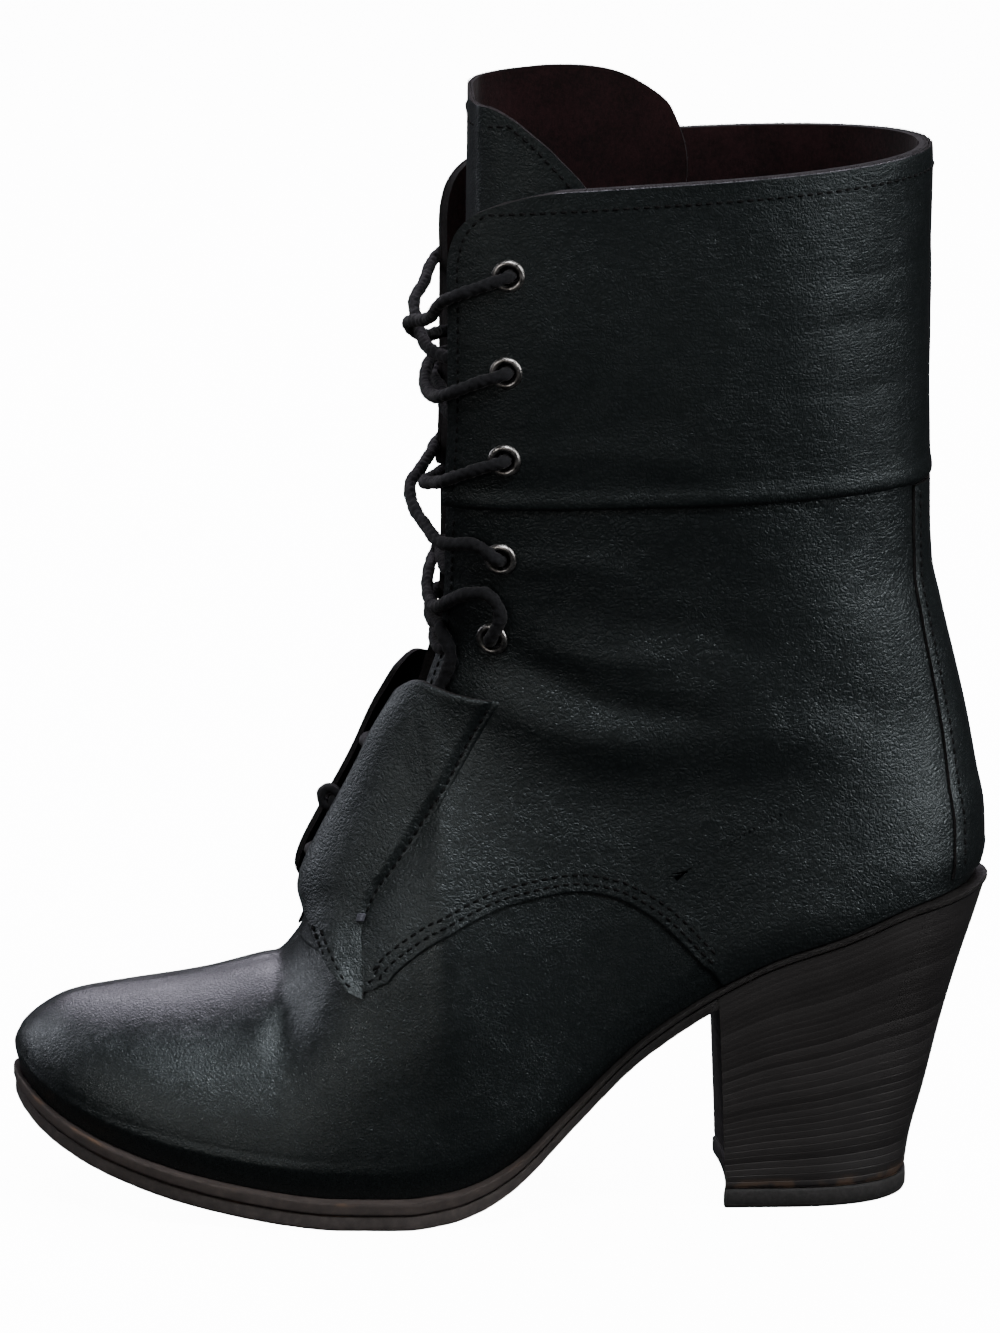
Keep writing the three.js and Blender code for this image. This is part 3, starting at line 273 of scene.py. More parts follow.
# Forms shared with the frame
TOE_SWING = 5 * MM
COLLAR_DROP = 6 * MM
FACING_AT = 106.6 * MM
SWING_RUN = 0.45
SHANK_FROM = 0.42
SHANK_RUN = 0.2
OUTSOLE_WALL = (3.9 * MM, 3.2 * MM)
MIDSOLE_WALL = (3.1 * MM, 1.4 * MM)
INSOLE_WALL = 2.2 * MM
WELT_MARGIN = 1.8 * MM
SEAT_MARGIN = 0.6 * MM
TOE_TIP_UP = 0.03
SAMPLED_UP = 1.2
FREE_LEVEL = 0.76
CUFF_LINE = 0.765
REAR_BLUNT = 2.15
TOE_BLUNT = 2.3
WAIST_BLUNT = 1.75
BLUNT_RUN = 0.4
TUCK_SHARE = 0.05
TUCK_HEIGHT = 11 * MM
MARGIN_FROM = 0.5
MARGIN_RUN = 0.25
ANKLE_DROP = 22 * MM
ANKLE_RUN = 0.42
TURN_STEP = 0.03
UP_STEP = 0.004
HALVINGS = 34

# Creases of the leather, listed one by one: points as shares of the length and of the collar's height,
# depth (a trough is negative) and width. The last column says on which side: both, lateral or medial.
CREASES = (
    (((0.494, 0.548), (0.555, 0.512), (0.637, 0.486), (0.72, 0.477)), -0.85, 4.2, "both"),
    (((0.455, 0.51), (0.515, 0.478), (0.585, 0.458), (0.66, 0.45)), 1.0, 5.4, "both"),
    (((0.5, 0.42), (0.606, 0.405), (0.708, 0.408), (0.81, 0.43)), -0.6, 8, "both"),
    (((0.534, 0.546), (0.6, 0.534), (0.667, 0.532)), 0.45, 3.2, "both"),
    (((0.514, 0.588), (0.606, 0.574), (0.708, 0.559), (0.77, 0.54)), -0.55, 5.5, "both"),
    (((0.504, 0.622), (0.565, 0.628), (0.626, 0.617)), 0.45, 3.6, "both"),
    (((0.728, 0.632), (0.83, 0.594), (0.891, 0.516)), 0.7, 11, "lateral"),
    (((0.77, 0.498), (0.871, 0.478), (0.942, 0.44)), -0.6, 8.5, "lateral"),
    (((0.708, 0.449), (0.81, 0.459), (0.881, 0.43)), 0.55, 7.5, "lateral"),
    (((0.74, 0.61), (0.84, 0.57), (0.93, 0.52)), -0.6, 9, "medial"),
    (((0.7, 0.53), (0.8, 0.49), (0.9, 0.46)), 0.6, 7, "medial"),
    (((0.315, 0.255), (0.295, 0.205), (0.27, 0.165)), -0.6, 4.4, "both"),
    (((0.286, 0.225), (0.262, 0.19), (0.245, 0.155)), 0.5, 4.6, "both"),
    (((0.4, 0.215), (0.385, 0.165), (0.415, 0.105)), -0.55, 7.5, "lateral"),
    (((0.41, 0.2), (0.37, 0.15), (0.39, 0.09)), -0.6, 7, "medial"),
    (((0.5, 0.225), (0.428, 0.175), (0.34, 0.13)), 0.65, 9, "both"),
    (((0.45, 0.7), (0.56, 0.692), (0.7, 0.7)), -0.3, 3.5, "both"),
    (((0.46, 0.725), (0.6, 0.735), (0.72, 0.72)), 0.3, 4, "both"),
    (((0.887, 0.97), (0.877, 0.86), (0.89, 0.71)), -0.6, 8, "both"),
    (((0.81, 0.95), (0.8, 0.84), (0.81, 0.7)), 0.45, 10, "both"),
    (((0.79, 0.9), (0.86, 0.893), (0.93, 0.905)), -0.22, 2.6, "both"),
    (((0.8, 0.845), (0.87, 0.85), (0.93, 0.84)), -0.22, 2.6, "both"),
    (((0.78, 0.79), (0.86, 0.785), (0.92, 0.795)), -0.2, 2.8, "both"),
    (((0.47, 0.95), (0.53, 0.86), (0.5, 0.7)), 0.35, 9, "both"),
    (((0.62, 0.93), (0.66, 0.84), (0.64, 0.72)), -0.3, 11, "both"),
)
CREASE_TAPER = 0.22
CREASE_END = 0.3

# Slow unevenness of the hide: waves across the length, up the height, their phase and their swing
SWELLS = ((61, 23, 0.4, 0.16), (97, -54, 1.7, 0.11), (34, 88, 2.6, 0.13), (143, 71, 0.9, 0.06))


class Last:
    """The closed outer form of the boot, with the toe at x 0, sampled by a turn round it and a level."""

    def __init__(self, sizes):
        self.length, self.sole_width = sizes.boot_length, sizes.sole_width
        self.spring, self.seat = sizes.toe_spring, sizes.seat_height
        self.vamp, self.shaft, self.width = sizes.vamp_height, sizes.shaft_height, sizes.shaft_width
        self.gap = sizes.seam_gap
        self.wall, self.step, self.cuff_wall = sizes.leather_wall, sizes.quarter_step, sizes.cuff_wall
        self.cuff_inner = self.step + self.gap
        self.cuff_outer = self.cuff_inner + self.cuff_wall
        self.seat_z = float(self.feather(self.length))
        self.collar_z = self.seat_z + self.shaft
        self.leg_floor = float(self.feather(FACING_AT)) + self.vamp
        self.leg = self.collar_z - COLLAR_DROP - self.leg_floor
        up = np.linspace(0, SAMPLED_UP, 481)
        self.front_at = Reading(self.front_z(up), self.front_x(up))
        self.front_up = Reading(self.front_z(up), up)
        self.back_at = Reading(self.back_z(up), self.back_x(up))
        fore = up[up >= TOE_TIP_UP]
        self.ridge_at = Reading(self.front_x(fore), self.front_z(fore))
        self.facing_table = {floor: self.facing_turns(up, floor) for floor in (0, THROAT_FLOOR)}
        self.levels = up

    def underside(self, x):
        share = x / self.length
        return UNDERSIDE["spring"](share) * self.spring + UNDERSIDE["seat"](share) * self.seat

    def thinning(self, x):
        return ease((x / self.length - SHANK_FROM) / SHANK_RUN)

    def outsole_top(self, x):
        return self.underside(x) + mix(*OUTSOLE_WALL, self.thinning(x))

    def midsole_bottom(self, x):
        return self.outsole_top(x) + self.gap

    def midsole_top(self, x):
        return self.midsole_bottom(x) + mix(*MIDSOLE_WALL, self.thinning(x))

    def feather(self, x):
        return self.midsole_top(x) + self.gap

    def centre(self, x):
        return TOE_SWING * (1 - ease(x / self.length / SWING_RUN))

    def outline(self, turn, lateral, inset):
        """Points of the sole's edge on one side, moved inward by the inset."""
        sign = -1 if lateral else 1
        half = OUTLINE["lateral" if lateral else "medial"]

        def at(v):
            x = along(v) * self.length
            return np.stack([x, self.centre(x) + sign * half(v) * self.sole_width], -1)

        run = unit(at(np.minimum(turn + 0.002, math.pi)) - at(np.maximum(turn - 0.002, 0)))
        inward = np.stack([-run[..., 1], run[..., 0]], -1) * -sign
        ends = (turn <= 0) | (turn >= math.pi)
        inward = np.where(ends[..., None], np.stack([np.cos(turn), 0 * turn], -1), inward)
        return at(turn) + inward * np.asarray(inset)[..., None]

    def front_x(self, up):
        """Where the front line is along the boot at a level."""
        return FRONT["at"](up) * self.length

    def front_z(self, up):
        """How high the front line is at a level."""
        return self.feather(self.front_x(up)) + FRONT["vamp"](up) * self.vamp + FRONT["leg"](up) * self.leg

    def back_x(self, up):
        """Where the back line is along the boot at a level."""
        return BACK["at"](up) * self.length

    def back_z(self, up):
        """How high the back line is at a level."""
        return self.seat_z + BACK["rise"](up) * self.shaft

    def shaft_half(self, x, z):
        """Half the width of the shaft at a place in side view."""
        rise = np.clip((z - self.seat_z) / self.shaft, -0.3, SAMPLED_UP)
        front = self.front_at(z)
        v = (x - front) / (self.back_at(z) - front)
        widest = SHAFT["widest"](rise)
        fore = v < widest
        f = np.clip(np.where(fore, 1 - v / widest, (v - widest) / (1 - widest)), 0, 1)
        power = np.where(fore, SHAFT["blunt"](rise), REAR_BLUNT)
        return SHAFT["half"](rise) * self.width * (1 - f ** power) ** (1 / power)

    def foot_half(self, x, z, lateral, up):
        """Half the width of the foot at a place in side view."""
        toe = self.front_x(np.minimum(up, TOE_TIP_UP))
        heel = self.back_at(np.clip(z, self.seat_z, self.collar_z))
        v = np.clip((x - toe) / (heel - toe), 0, 1)
        margin = mix(WELT_MARGIN, SEAT_MARGIN, ease((v - MARGIN_FROM) / MARGIN_RUN))
        turn = turn_at(v)
        plan = np.where(lateral, OUTLINE["lateral"](turn), OUTLINE["medial"](turn)) * self.sole_width - margin
        floor = self.feather(x)
        h = np.clip((z - floor) / np.maximum(self.ridge_at(x) - floor, 0.01 * MM), 0, 1)
        h = np.where(up < TOE_TIP_UP, 0, h)
        boxy = mix(TOE_BLUNT, WAIST_BLUNT, ease(v / BLUNT_RUN))
        tuck = 1 - TUCK_SHARE * np.clip(1 - (z - floor) / TUCK_HEIGHT, 0, 1) ** 2
        return np.maximum(plan, 0) * tuck * np.sqrt(1 - h ** boxy)

    def raw(self, turn, up):
        """Points of the bare form."""
        turn, up = np.broadcast_arrays(np.asarray(turn, float), np.asarray(up, float))
        s = along(turn)
        x = mix(self.front_x(up), self.back_x(up), s)
        level = mix(self.front_z(up), self.back_z(up), s)
        base = mix(self.front_z(0), self.back_z(0), s)
        bottom = mix(self.front_x(0), self.back_x(0), s)
        pull = np.clip(1 - up / FREE_LEVEL, 0, 1) ** 2
        z = level + pull * (self.feather(bottom) - base)
        lateral = turn <= math.pi
        blend = ease((z - (self.seat_z - ANKLE_DROP)) / (ANKLE_RUN * self.shaft))
        foot, shaft = self.foot_half(x, z, lateral, up), self.shaft_half(x, z)
        half = np.sqrt((1 - blend) * foot * foot + blend * shaft * shaft)
        return np.stack([x, self.centre(x) + np.where(lateral, -1, 1) * half, z], -1)

    def out(self, turn, up):
        """The way out of the form at a place."""
        turn, up = np.broadcast_arrays(np.asarray(turn, float), np.asarray(up, float))
        round_ = self.raw((turn + TURN_STEP) % FULL, up) - self.raw((turn - TURN_STEP) % FULL, up)
        rise = self.raw(turn, up + UP_STEP) - self.raw(turn, np.maximum(up - UP_STEP, 0))
        return unit(np.cross(round_, rise))

    def skin(self, turn, up, offset, creased=0.0):
        """Points on the form, moved out by the offset and by a share of the creases."""
        here = self.raw(turn, up)
        lift = np.asarray(offset, float)
        if np.any(creased):
            lift = lift + creased * self.relief(here)
        here = here + self.out(turn, up) * np.broadcast_to(lift, here.shape[:-1])[..., None]
        grounded = np.broadcast_to(np.asarray(up) <= 0, here.shape[:-1])
        here[..., 2] = np.where(grounded, self.feather(here[..., 0]), here[..., 2])
        return here

    def relief(self, points):
        """Height of the creases and swells at points of the form."""
        x, z = points[..., 0], points[..., 2]
        total = np.zeros_like(x)
        lateral = points[..., 1] < self.centre(x)
        for spine, depth, width, side in CREASES:
            reach = width * MM
            line = np.array([(a * self.length, b * self.collar_z, 0) for a, b in spine])
            path, reached = smooth_path(line, reach / 2)
            share = reached / reached[-1]
            taper = mix(CREASE_END, 1, ease(share / CREASE_TAPER) * ease((1 - share) / CREASE_TAPER))
            near = (np.abs(x - path[:, 0].mean()) < np.ptp(path[:, 0]) / 2 + 3 * reach) & (
                np.abs(z - path[:, 1].mean()) < np.ptp(path[:, 1]) / 2 + 3 * reach)
            if side != "both":
                near &= lateral == (side == "lateral")
            away = ((x[near][:, None] - path[:, 0]) ** 2 + (z[near][:, None] - path[:, 1]) ** 2) / reach ** 2
            weight = taper * reached[1] / (reach * math.sqrt(math.pi))
            total[near] += depth * MM * (np.exp(-away) @ weight)
        for across, rise, phase, swing in SWELLS:
            total += swing * MM * np.sin(across * x + rise * z + phase + np.where(lateral, 0, 2))
        calm = ease((z - self.feather(x)) / (9 * MM)) * ease((self.collar_z + 4 * MM - z) / (9 * MM))
        return total * calm

    def gap_at(self, z, floor):
        """Half the open gap between the facings at a height."""
        leg = (z - self.leg_floor) / self.leg
        return np.maximum(THROAT(np.maximum(leg, 0.055)), floor) * self.width

    def facing_turns(self, up, floor):
        """The turn at which each level meets the facing's edge."""
        low, high = np.zeros_like(up), np.full_like(up, math.pi / 2)
        for _ in range(HALVINGS):
            turn = (low + high) / 2
            point = self.raw(turn, up)
            inside = np.abs(point[..., 1] - self.centre(point[..., 0])) < self.gap_at(point[..., 2], floor)
            low, high = np.where(inside, turn, low), np.where(inside, high, turn)
        return low

    def facing(self, up, floor):
        """The turn of the facing's edge at a level."""
        return np.interp(up, self.levels, self.facing_table[floor])

    def open_turn(self, up, share, floor=THROAT_FLOOR):
        """Turn from the near facing's edge, round the back, to the far facing's edge."""
        edge = self.facing(up, floor)
        return mix(edge, FULL - edge, share)

    def edge_height(self, x):
        """Height of the quarter's lower edge along the boot."""
        return QUARTER_EDGE(np.clip(x / self.length, 0.31, 0.74)) * self.seat

    def quarter_edge(self, turn_of):
        """The level of the quarter's lower edge for each column; turn_of gives a column's turn at a level."""
        shape = turn_of(0.0).shape
        low, high = np.zeros(shape), np.full(shape, 0.7)
        for _ in range(HALVINGS):
            up = (low + high) / 2
            point = self.raw(turn_of(up), up)
            under = point[..., 2] < self.edge_height(point[..., 0])
            low, high = np.where(under, up, low), np.where(under, high, up)
        return low

    def locate(self, x, z):
        """Turn and level of the outer side's point that is seen from the side at x and z."""
        x, z = np.broadcast_arrays(np.asarray(x, float), np.asarray(z, float))
        low, high = np.zeros_like(x), np.full_like(x, SAMPLED_UP)
        for _ in range(HALVINGS):
            up = (low + high) / 2
            front, back = self.front_x(up), self.back_x(up)
            turn = turn_at((x - front) / (back - front))
            under = self.raw(turn, up)[..., 2] < z
            low, high = np.where(under, up, low), np.where(under, high, up)
        return turn, low

    def spread_turn(self, up, spread):
        """The turn at which a level is a given distance from its centre line."""
        up, spread = np.broadcast_arrays(np.asarray(up, float), np.asarray(spread, float))
        low, high = np.zeros_like(up), np.full_like(up, math.pi / 2)
        for _ in range(HALVINGS):
            turn = (low + high) / 2
            point = self.raw(turn, up)
            inside = np.abs(point[..., 1] - self.centre(point[..., 0])) < spread
            low, high = np.where(inside, turn, low), np.where(inside, high, turn)
        return low

    def side_point(self, x, z, offset, lateral=True):
        """A point of the skin seen from the side at x and z."""
        turn, up = self.locate(x, z)
        return self.skin(turn if lateral else FULL - turn, up, offset)

    def front_point(self, y, z, lift):
        """A point near the front line, y across it and lifted off the closed form."""
        up = self.front_up(z)
        turn = self.spread_turn(up, abs(y))
        return self.skin(turn if y <= 0 else (FULL - turn) % FULL, up, lift)


def last_of(context):
    """The boot's form, from the sizes in the sidebar."""
    return Last(context.scene.boot_sizes)


# Meshes

WELD = 0.004 * MM
# Smooth shading ends at edges above an angle in degrees: this one for tubes and threads
TUBE_SHARP = 80


def add_mesh(name, points, faces, materials, face_material=None, sharp=40, loops=None, weld=0.0):
    """A mesh of the toe frame's points, moved into the row frame, as a piece that rides on the boot."""
    points = np.asarray(points, float).reshape(-1, 3) + (TOE_X, MIDDLE_Y, 0)
    mesh = bpy.data.meshes.new(name)
    mesh.from_pydata(points.tolist(), [], [list(face) for face in faces])
    for item in materials:
        mesh.materials.append(item)
    if face_material is not None:
        mesh.polygons.foreach_set("material_index", np.asarray(face_material, np.int32))
    if loops is not None:
        layer = mesh.uv_layers.new(name="UVMap")
        order = np.zeros(len(mesh.loops), np.int32)
        mesh.loops.foreach_get("vertex_index", order)
        layer.data.foreach_set("uv", np.asarray(loops, np.float32)[order].ravel())
    if weld:
        weld_mesh(mesh, weld)
    mesh.validate()
    mesh.polygons.foreach_set("use_smooth", np.ones(len(mesh.polygons), bool))
    mesh.set_sharp_from_angle(angle=math.radians(sharp))
    piece = bpy.data.objects.new(name, mesh)
    bpy.context.scene.collection.objects.link(piece)
    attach(piece, BODY)
    return piece


def weld_mesh(mesh, distance):
    """Joins the points of a mesh that lie closer than a distance and drops the faces that vanish."""
    work = bmesh.new()
    work.from_mesh(mesh)
    bmesh.ops.remove_doubles(work, verts=work.verts, dist=distance)
    bmesh.ops.dissolve_degenerate(work, dist=distance / 2, edges=work.edges)
    work.to_mesh(mesh)
    work.free()


def shell_faces(rows, count, keep, closed):
    """Quads of a wall between an outer and an inner grid, with every open edge closed by a rim."""
    cells = count if closed else count - 1
    inner = rows * count
    keep = np.ones((rows - 1, cells), bool) if keep is None else keep
    i, j = np.nonzero(keep)
    k = (j + 1) % count
    a, b, c, d = i * count + j, i * count + k, (i + 1) * count + k, (i + 1) * count + j
    outer_quads = np.stack([a, b, c, d], 1)
    inner_quads = np.stack([a, d, c, b], 1) + inner
    sides = []
    padded = np.zeros((rows + 1, cells + 2), bool)
    padded[1:-1, 1:-1] = keep
    if closed:
        padded[1:-1, 0], padded[1:-1, -1] = keep[:, -1], keep[:, 0]
    for (di, dj), p, q in (((-1, 0), a, b), ((0, 1), b, c), ((1, 0), c, d), ((0, -1), d, a)):
        bare = ~padded[i + 1 + di, j + 1 + dj]
        sides.append(np.stack([q[bare], p[bare], p[bare] + inner, q[bare] + inner], 1))
    rim = np.concatenate(sides)
    faces = np.concatenate([outer_quads, inner_quads, rim])
    material = np.repeat([0, 1, 2], [len(outer_quads), len(inner_quads), len(rim)])
    return faces, material


def shell(name, outer, inner, materials, keep=None, closed=False, sharp=40, weld=0.0):
    """A wall between two grids as a piece, with a material each for its outside, inside and rim."""
    rows, count = outer.shape[:2]
    faces, material = shell_faces(rows, count, keep, closed)
    points = np.concatenate([outer.reshape(-1, 3), inner.reshape(-1, 3)])
    used = np.unique(faces)
    number = np.zeros(len(points), int)
    number[used] = np.arange(len(used))
    return add_mesh(name, points[used], number[faces].tolist(), materials, material, sharp, weld=weld)


def ring_faces(rows, count):
    """Quads between closed rings of points that follow one another."""
    r, k = np.meshgrid(np.arange(rows - 1), np.arange(count), indexing="ij")
    m = (k + 1) % count
    quads = np.stack([r * count + k, r * count + m, (r + 1) * count + m, (r + 1) * count + k], -1)
    return quads.reshape(-1, 4).tolist()


def grid_faces(rows, cols, base, turned):
    """Quads of a grid of points whose first point has the number base, turned over if asked."""
    i, k = np.meshgrid(np.arange(rows - 1), np.arange(cols - 1), indexing="ij")
    a = base + i * cols + k
    quads = np.stack([a, a + 1, a + 1 + cols, a + cols], -1).reshape(-1, 4)
    return (quads[:, ::-1] if turned else quads).tolist()


def lip(distance, depth, run):
    """How far an edge's corner is rounded off, at a distance from the edge."""
    return depth * np.clip(1 - distance / run, 0, 1) ** 2


def edge_rows(count, height, fine=(0.0, 0.2, 0.45, 0.8, 1.3)):
    """Shares from 0 to 1 with close rows at both ends; height is the real length that they cover."""
    near = np.array(fine) * MM / height
    middle = np.linspace(near[-1], 1 - near[-1], count)
    return np.concatenate([near[:-1], middle, 1 - near[:-1][::-1]])


def envelope(edge, reach, closed=False):
    """A smooth line that stays on or above an edge, spread over a number of columns."""
    count = int(3 * reach) + 1
    padded = np.pad(edge, 2 * count, mode="wrap" if closed else "edge")
    high = np.lib.stride_tricks.sliding_window_view(padded, 2 * count + 1).max(axis=-1)
    weights = np.exp(-(np.arange(-count, count + 1) / reach) ** 2)
    return np.convolve(high, weights / weights.sum(), mode="valid")


def pierce(seats, outer, inner, radius, reach):
    """Cuts round holes for the eyelets out of a wall's grids and says which cells are left."""
    centre = (outer[:-1, :-1] + outer[1:, :-1] + outer[:-1, 1:] + outer[1:, 1:]) / 4
    keep = np.ones(centre.shape[:2], bool)
    for seat in seats:
        away = centre - seat["origin"]
        height = away @ seat["out"]
        flat = np.linalg.norm(away - height[..., None] * seat["out"], axis=-1)
        hole = (flat < radius) & (np.abs(height) < reach)
        keep &= ~hole
        corners = np.zeros(outer.shape[:2], bool)
        for di, dj in ((0, 0), (0, 1), (1, 0), (1, 1)):
            corners[di:di + hole.shape[0], dj:dj + hole.shape[1]] |= hole
        for grid in (outer, inner):
            away = grid - seat["origin"]
            height = (away @ seat["out"])[..., None] * seat["out"]
            flat = away - height
            size = np.linalg.norm(flat, axis=-1, keepdims=True)
            round_ = seat["origin"] + height + flat / np.maximum(size, 1e-9) * radius
            grid[:] = np.where(corners[..., None], round_, grid)
    return keep


# Finishes

class Finish:
    """A material's node tree, built one node at a time."""

    def __init__(self, name):
        self.material = bpy.data.materials.new(name)
        self.material.use_nodes = True
        self.tree = self.material.node_tree
        self.shader = self.tree.nodes["Principled BSDF"]

    def node(self, kind, settings=None, **inputs):
        """A shader node with its settings, and its inputs given by name."""
        made = self.tree.nodes.new("ShaderNode" + kind)
        for key, value in (settings or {}).items():
            setattr(made, key, value)
        for key, value in inputs.items():
            self.put(made, key.replace("_", " "), value)
        return made

    def put(self, node, socket, value):
        """Links a value to a node's input, or writes it there when it is a plain one."""
        place = node.inputs[int(socket)] if socket.isdigit() else node.inputs[socket]
        if isinstance(value, bpy.types.NodeSocket):
            self.tree.links.new(value, place)
        else:
            place.default_value = value

    def coordinates(self, stretch=(1, 1, 1)):
        """Places in the piece's own space, stretched along its axes."""
        source = self.node("TexCoord").outputs["Object"]
        mapping = self.node("Mapping", Vector=source, Scale=stretch)
        return mapping.outputs["Vector"]

    def noise(self, vector, scale, detail=4.0, roughness=0.55):
        """A cloudy value from 0 to 1."""
        made = self.node("TexNoise", Vector=vector, Scale=scale, Detail=detail, Roughness=roughness)
        return made.outputs["Fac"]

    def math(self, operation, a, b=0.0):
        """The result of one operation on two values."""
        made = self.node("Math", {"operation": operation})
        self.put(made, "0", a)
        self.put(made, "1", b)
        return made.outputs[0]

    def spread(self, value, low, high, to_low=0.0, to_high=1.0):
        """The value's range from low to high, eased onto another range."""
        made = self.node("MapRange", {"interpolation_type": "SMOOTHSTEP"}, Value=value, From_Min=low,
                         From_Max=high, To_Min=to_low, To_Max=to_high)
        return made.outputs["Result"]

    def blend(self, share, a, b):
        """A colour at a share of the way from a to b; each may be plain or a socket."""
        made = self.node("Mix", {"data_type": "RGBA"})
        self.put(made, "0", share)
        self.put(made, "6", tuple(a) + (1,) if not isinstance(a, bpy.types.NodeSocket) else a)
        self.put(made, "7", tuple(b) + (1,) if not isinstance(b, bpy.types.NodeSocket) else b)
        return made.outputs[2]

    def sum(self, *parts):
        """Weighted sum of heights, given as pairs of value and weight."""
        total = 0.0
        for value, weight in parts:
            total = self.math("ADD", self.math("MULTIPLY", value, weight), total)
        return total

    def bump(self, height, distance):
        """Lets a height, of a real distance, tilt the shader's normal."""
        made = self.node("Bump", Height=height, Distance=distance, Strength=1.0)
        self.put(self.shader, "Normal", made.outputs["Normal"])

    def set(self, **inputs):
        """Sets inputs of the shader by name."""
        for key, value in inputs.items():
            self.put(self.shader, key.replace("_", " "), value)


def leather_finish(name, dark, bloom, grain, rough=(0.4, 0.6), depth=0.16 * MM, shine=0.42):
    """Soft black leather with pebble grain, fine wrinkles that come and go, and a faint bloom."""
    f = Finish(name)
    place = f.coordinates()
    drift = f.node("TexNoise", Vector=place, Scale=110.0, Detail=2.0).outputs["Color"]
    warped = f.node("MixRGB", {"blend_type": "LINEAR_LIGHT"}, Fac=0.0016, Color1=place, Color2=drift)
    cells = f.node("TexVoronoi", {"feature": "DISTANCE_TO_EDGE"}, Vector=warped.outputs[0], Scale=1 / grain)
    pebble = f.spread(cells.outputs["Distance"], 0.0, 0.34)
    small = f.node("TexVoronoi", {"feature": "DISTANCE_TO_EDGE"}, Vector=warped.outputs[0],
                   Scale=2.3 / grain)
    fine = f.spread(small.outputs["Distance"], 0.0, 0.3)
    pull = f.noise(f.coordinates((1, 1, 1.9)), 230.0, 5.0, 0.6)
    wrinkles = f.noise(f.coordinates((0.5, 0.5, 3.0)), 330.0, 3.0, 0.6)
    pores = f.noise(place, 3200.0, 2.0)
    cloud = f.noise(place, 26.0, 3.0)
    lively = f.spread(f.noise(place, 42.0, 2.0), 0.38, 0.62, 0.78, 1.0)
    spine = f.node("SeparateXYZ", Vector=place)
    behind = f.math("MULTIPLY", f.spread(spine.outputs["X"], 0.02, 0.06),
                    f.spread(spine.outputs["Z"], 0.17, 0.19))
    creped = f.math("MULTIPLY", f.math("MULTIPLY", wrinkles, behind), lively)
    height = f.sum((f.math("MULTIPLY", f.sum((pebble, 0.42), (fine, 0.24)), lively), 1.0), (pull, 0.95),
                   (creped, 1.1), (pores, 0.1))
    f.bump(height, depth)
    worn = f.spread(f.sum((cloud, 0.35), (pebble, 0.4), (pull, 0.25)), 0.3, 0.75)
    f.set(Base_Color=f.blend(worn, dark, bloom), Specular_IOR_Level=shine,
          Specular_Tint=(0.86, 0.96, 1.0, 1.0),
          Roughness=f.spread(f.sum((cloud, 0.25), (fine, 0.75)), 0.15, 0.85, rough[1], rough[0]))
    return f.material


def suede_finish(name, colour):
    """Short napped suede with darker and lighter strokes."""
    f = Finish(name)
    place = f.coordinates()
    nap = f.noise(f.coordinates((1, 1, 0.7)), 1100.0, 5.0, 0.7)
    strokes = f.noise(place, 70.0, 4.0, 0.6)
    specks = f.noise(place, 2600.0, 2.0)
    light = tuple(min(1, c * 1.9) for c in colour)
    dark = tuple(c * 0.35 for c in colour)
    share = f.spread(f.sum((nap, 0.45), (strokes, 0.4), (specks, 0.15)), 0.36, 0.66)
    f.set(Base_Color=f.blend(share, dark, light), Roughness=0.95, Specular_IOR_Level=0.12,
          Sheen_Weight=0.04, Sheen_Roughness=0.5)
    f.bump(f.sum((nap, 0.7), (specks, 0.3)), 0.22 * MM)
    return f.material


def edge_finish(name, colour):
    """Raw cut edge: fibrous, lighter than the face."""
    f = Finish(name)
    fibres = f.noise(f.coordinates(), 1500.0, 4.0, 0.7)
    patches = f.noise(f.coordinates(), 160.0, 3.0)
    dark = tuple(c * 0.22 for c in colour)
    f.set(Base_Color=f.blend(f.spread(f.sum((fibres, 0.5), (patches, 0.5)), 0.36, 0.64), dark, colour),
          Roughness=0.9, Specular_IOR_Level=0.2)
    f.bump(fibres, 0.2 * MM)
    return f.material


def sole_finish(name, colour, wear, worn_from):
    """Waxed sole edge: layered, scuffed, tan where its corner is rubbed. V runs up the edge, U along it."""
    f = Finish(name)
    place = f.coordinates()
    uv = f.node("TexCoord").outputs["UV"]
    split = f.node("SeparateXYZ", Vector=uv)
    layers = f.noise(f.node("Mapping", Vector=uv, Scale=(60, 3000, 1)).outputs[0], 1.0, 4.0, 0.65)
    scuffs = f.noise(place, 420.0, 5.0, 0.7)
    patches = f.noise(place, 62.0, 3.0)
    pale = tuple(c * 2.3 for c in colour)
    black = tuple(c * 0.16 for c in colour)
    ground = f.blend(f.spread(f.sum((layers, 0.4), (scuffs, 0.6)), 0.36, 0.68), colour, pale)
    ahead = f.node("SeparateXYZ", Vector=place).outputs["X"]
    ground = f.blend(f.spread(ahead, -0.01, 0.035), ground, black)
    corner = f.math("MULTIPLY", f.spread(split.outputs["Y"], worn_from, 1.0), f.spread(ahead, 0.02, -0.02))
    rubbed = f.math("MULTIPLY", corner, f.spread(patches, 0.56, 0.7))
    f.set(Base_Color=f.blend(f.math("MULTIPLY", rubbed, 0.75), ground, wear), Specular_IOR_Level=0.3,
          Roughness=f.spread(scuffs, 0.3, 0.7, 0.55, 0.85))
    f.bump(f.sum((layers, 0.6), (scuffs, 0.7)), 0.3 * MM)
    return f.material


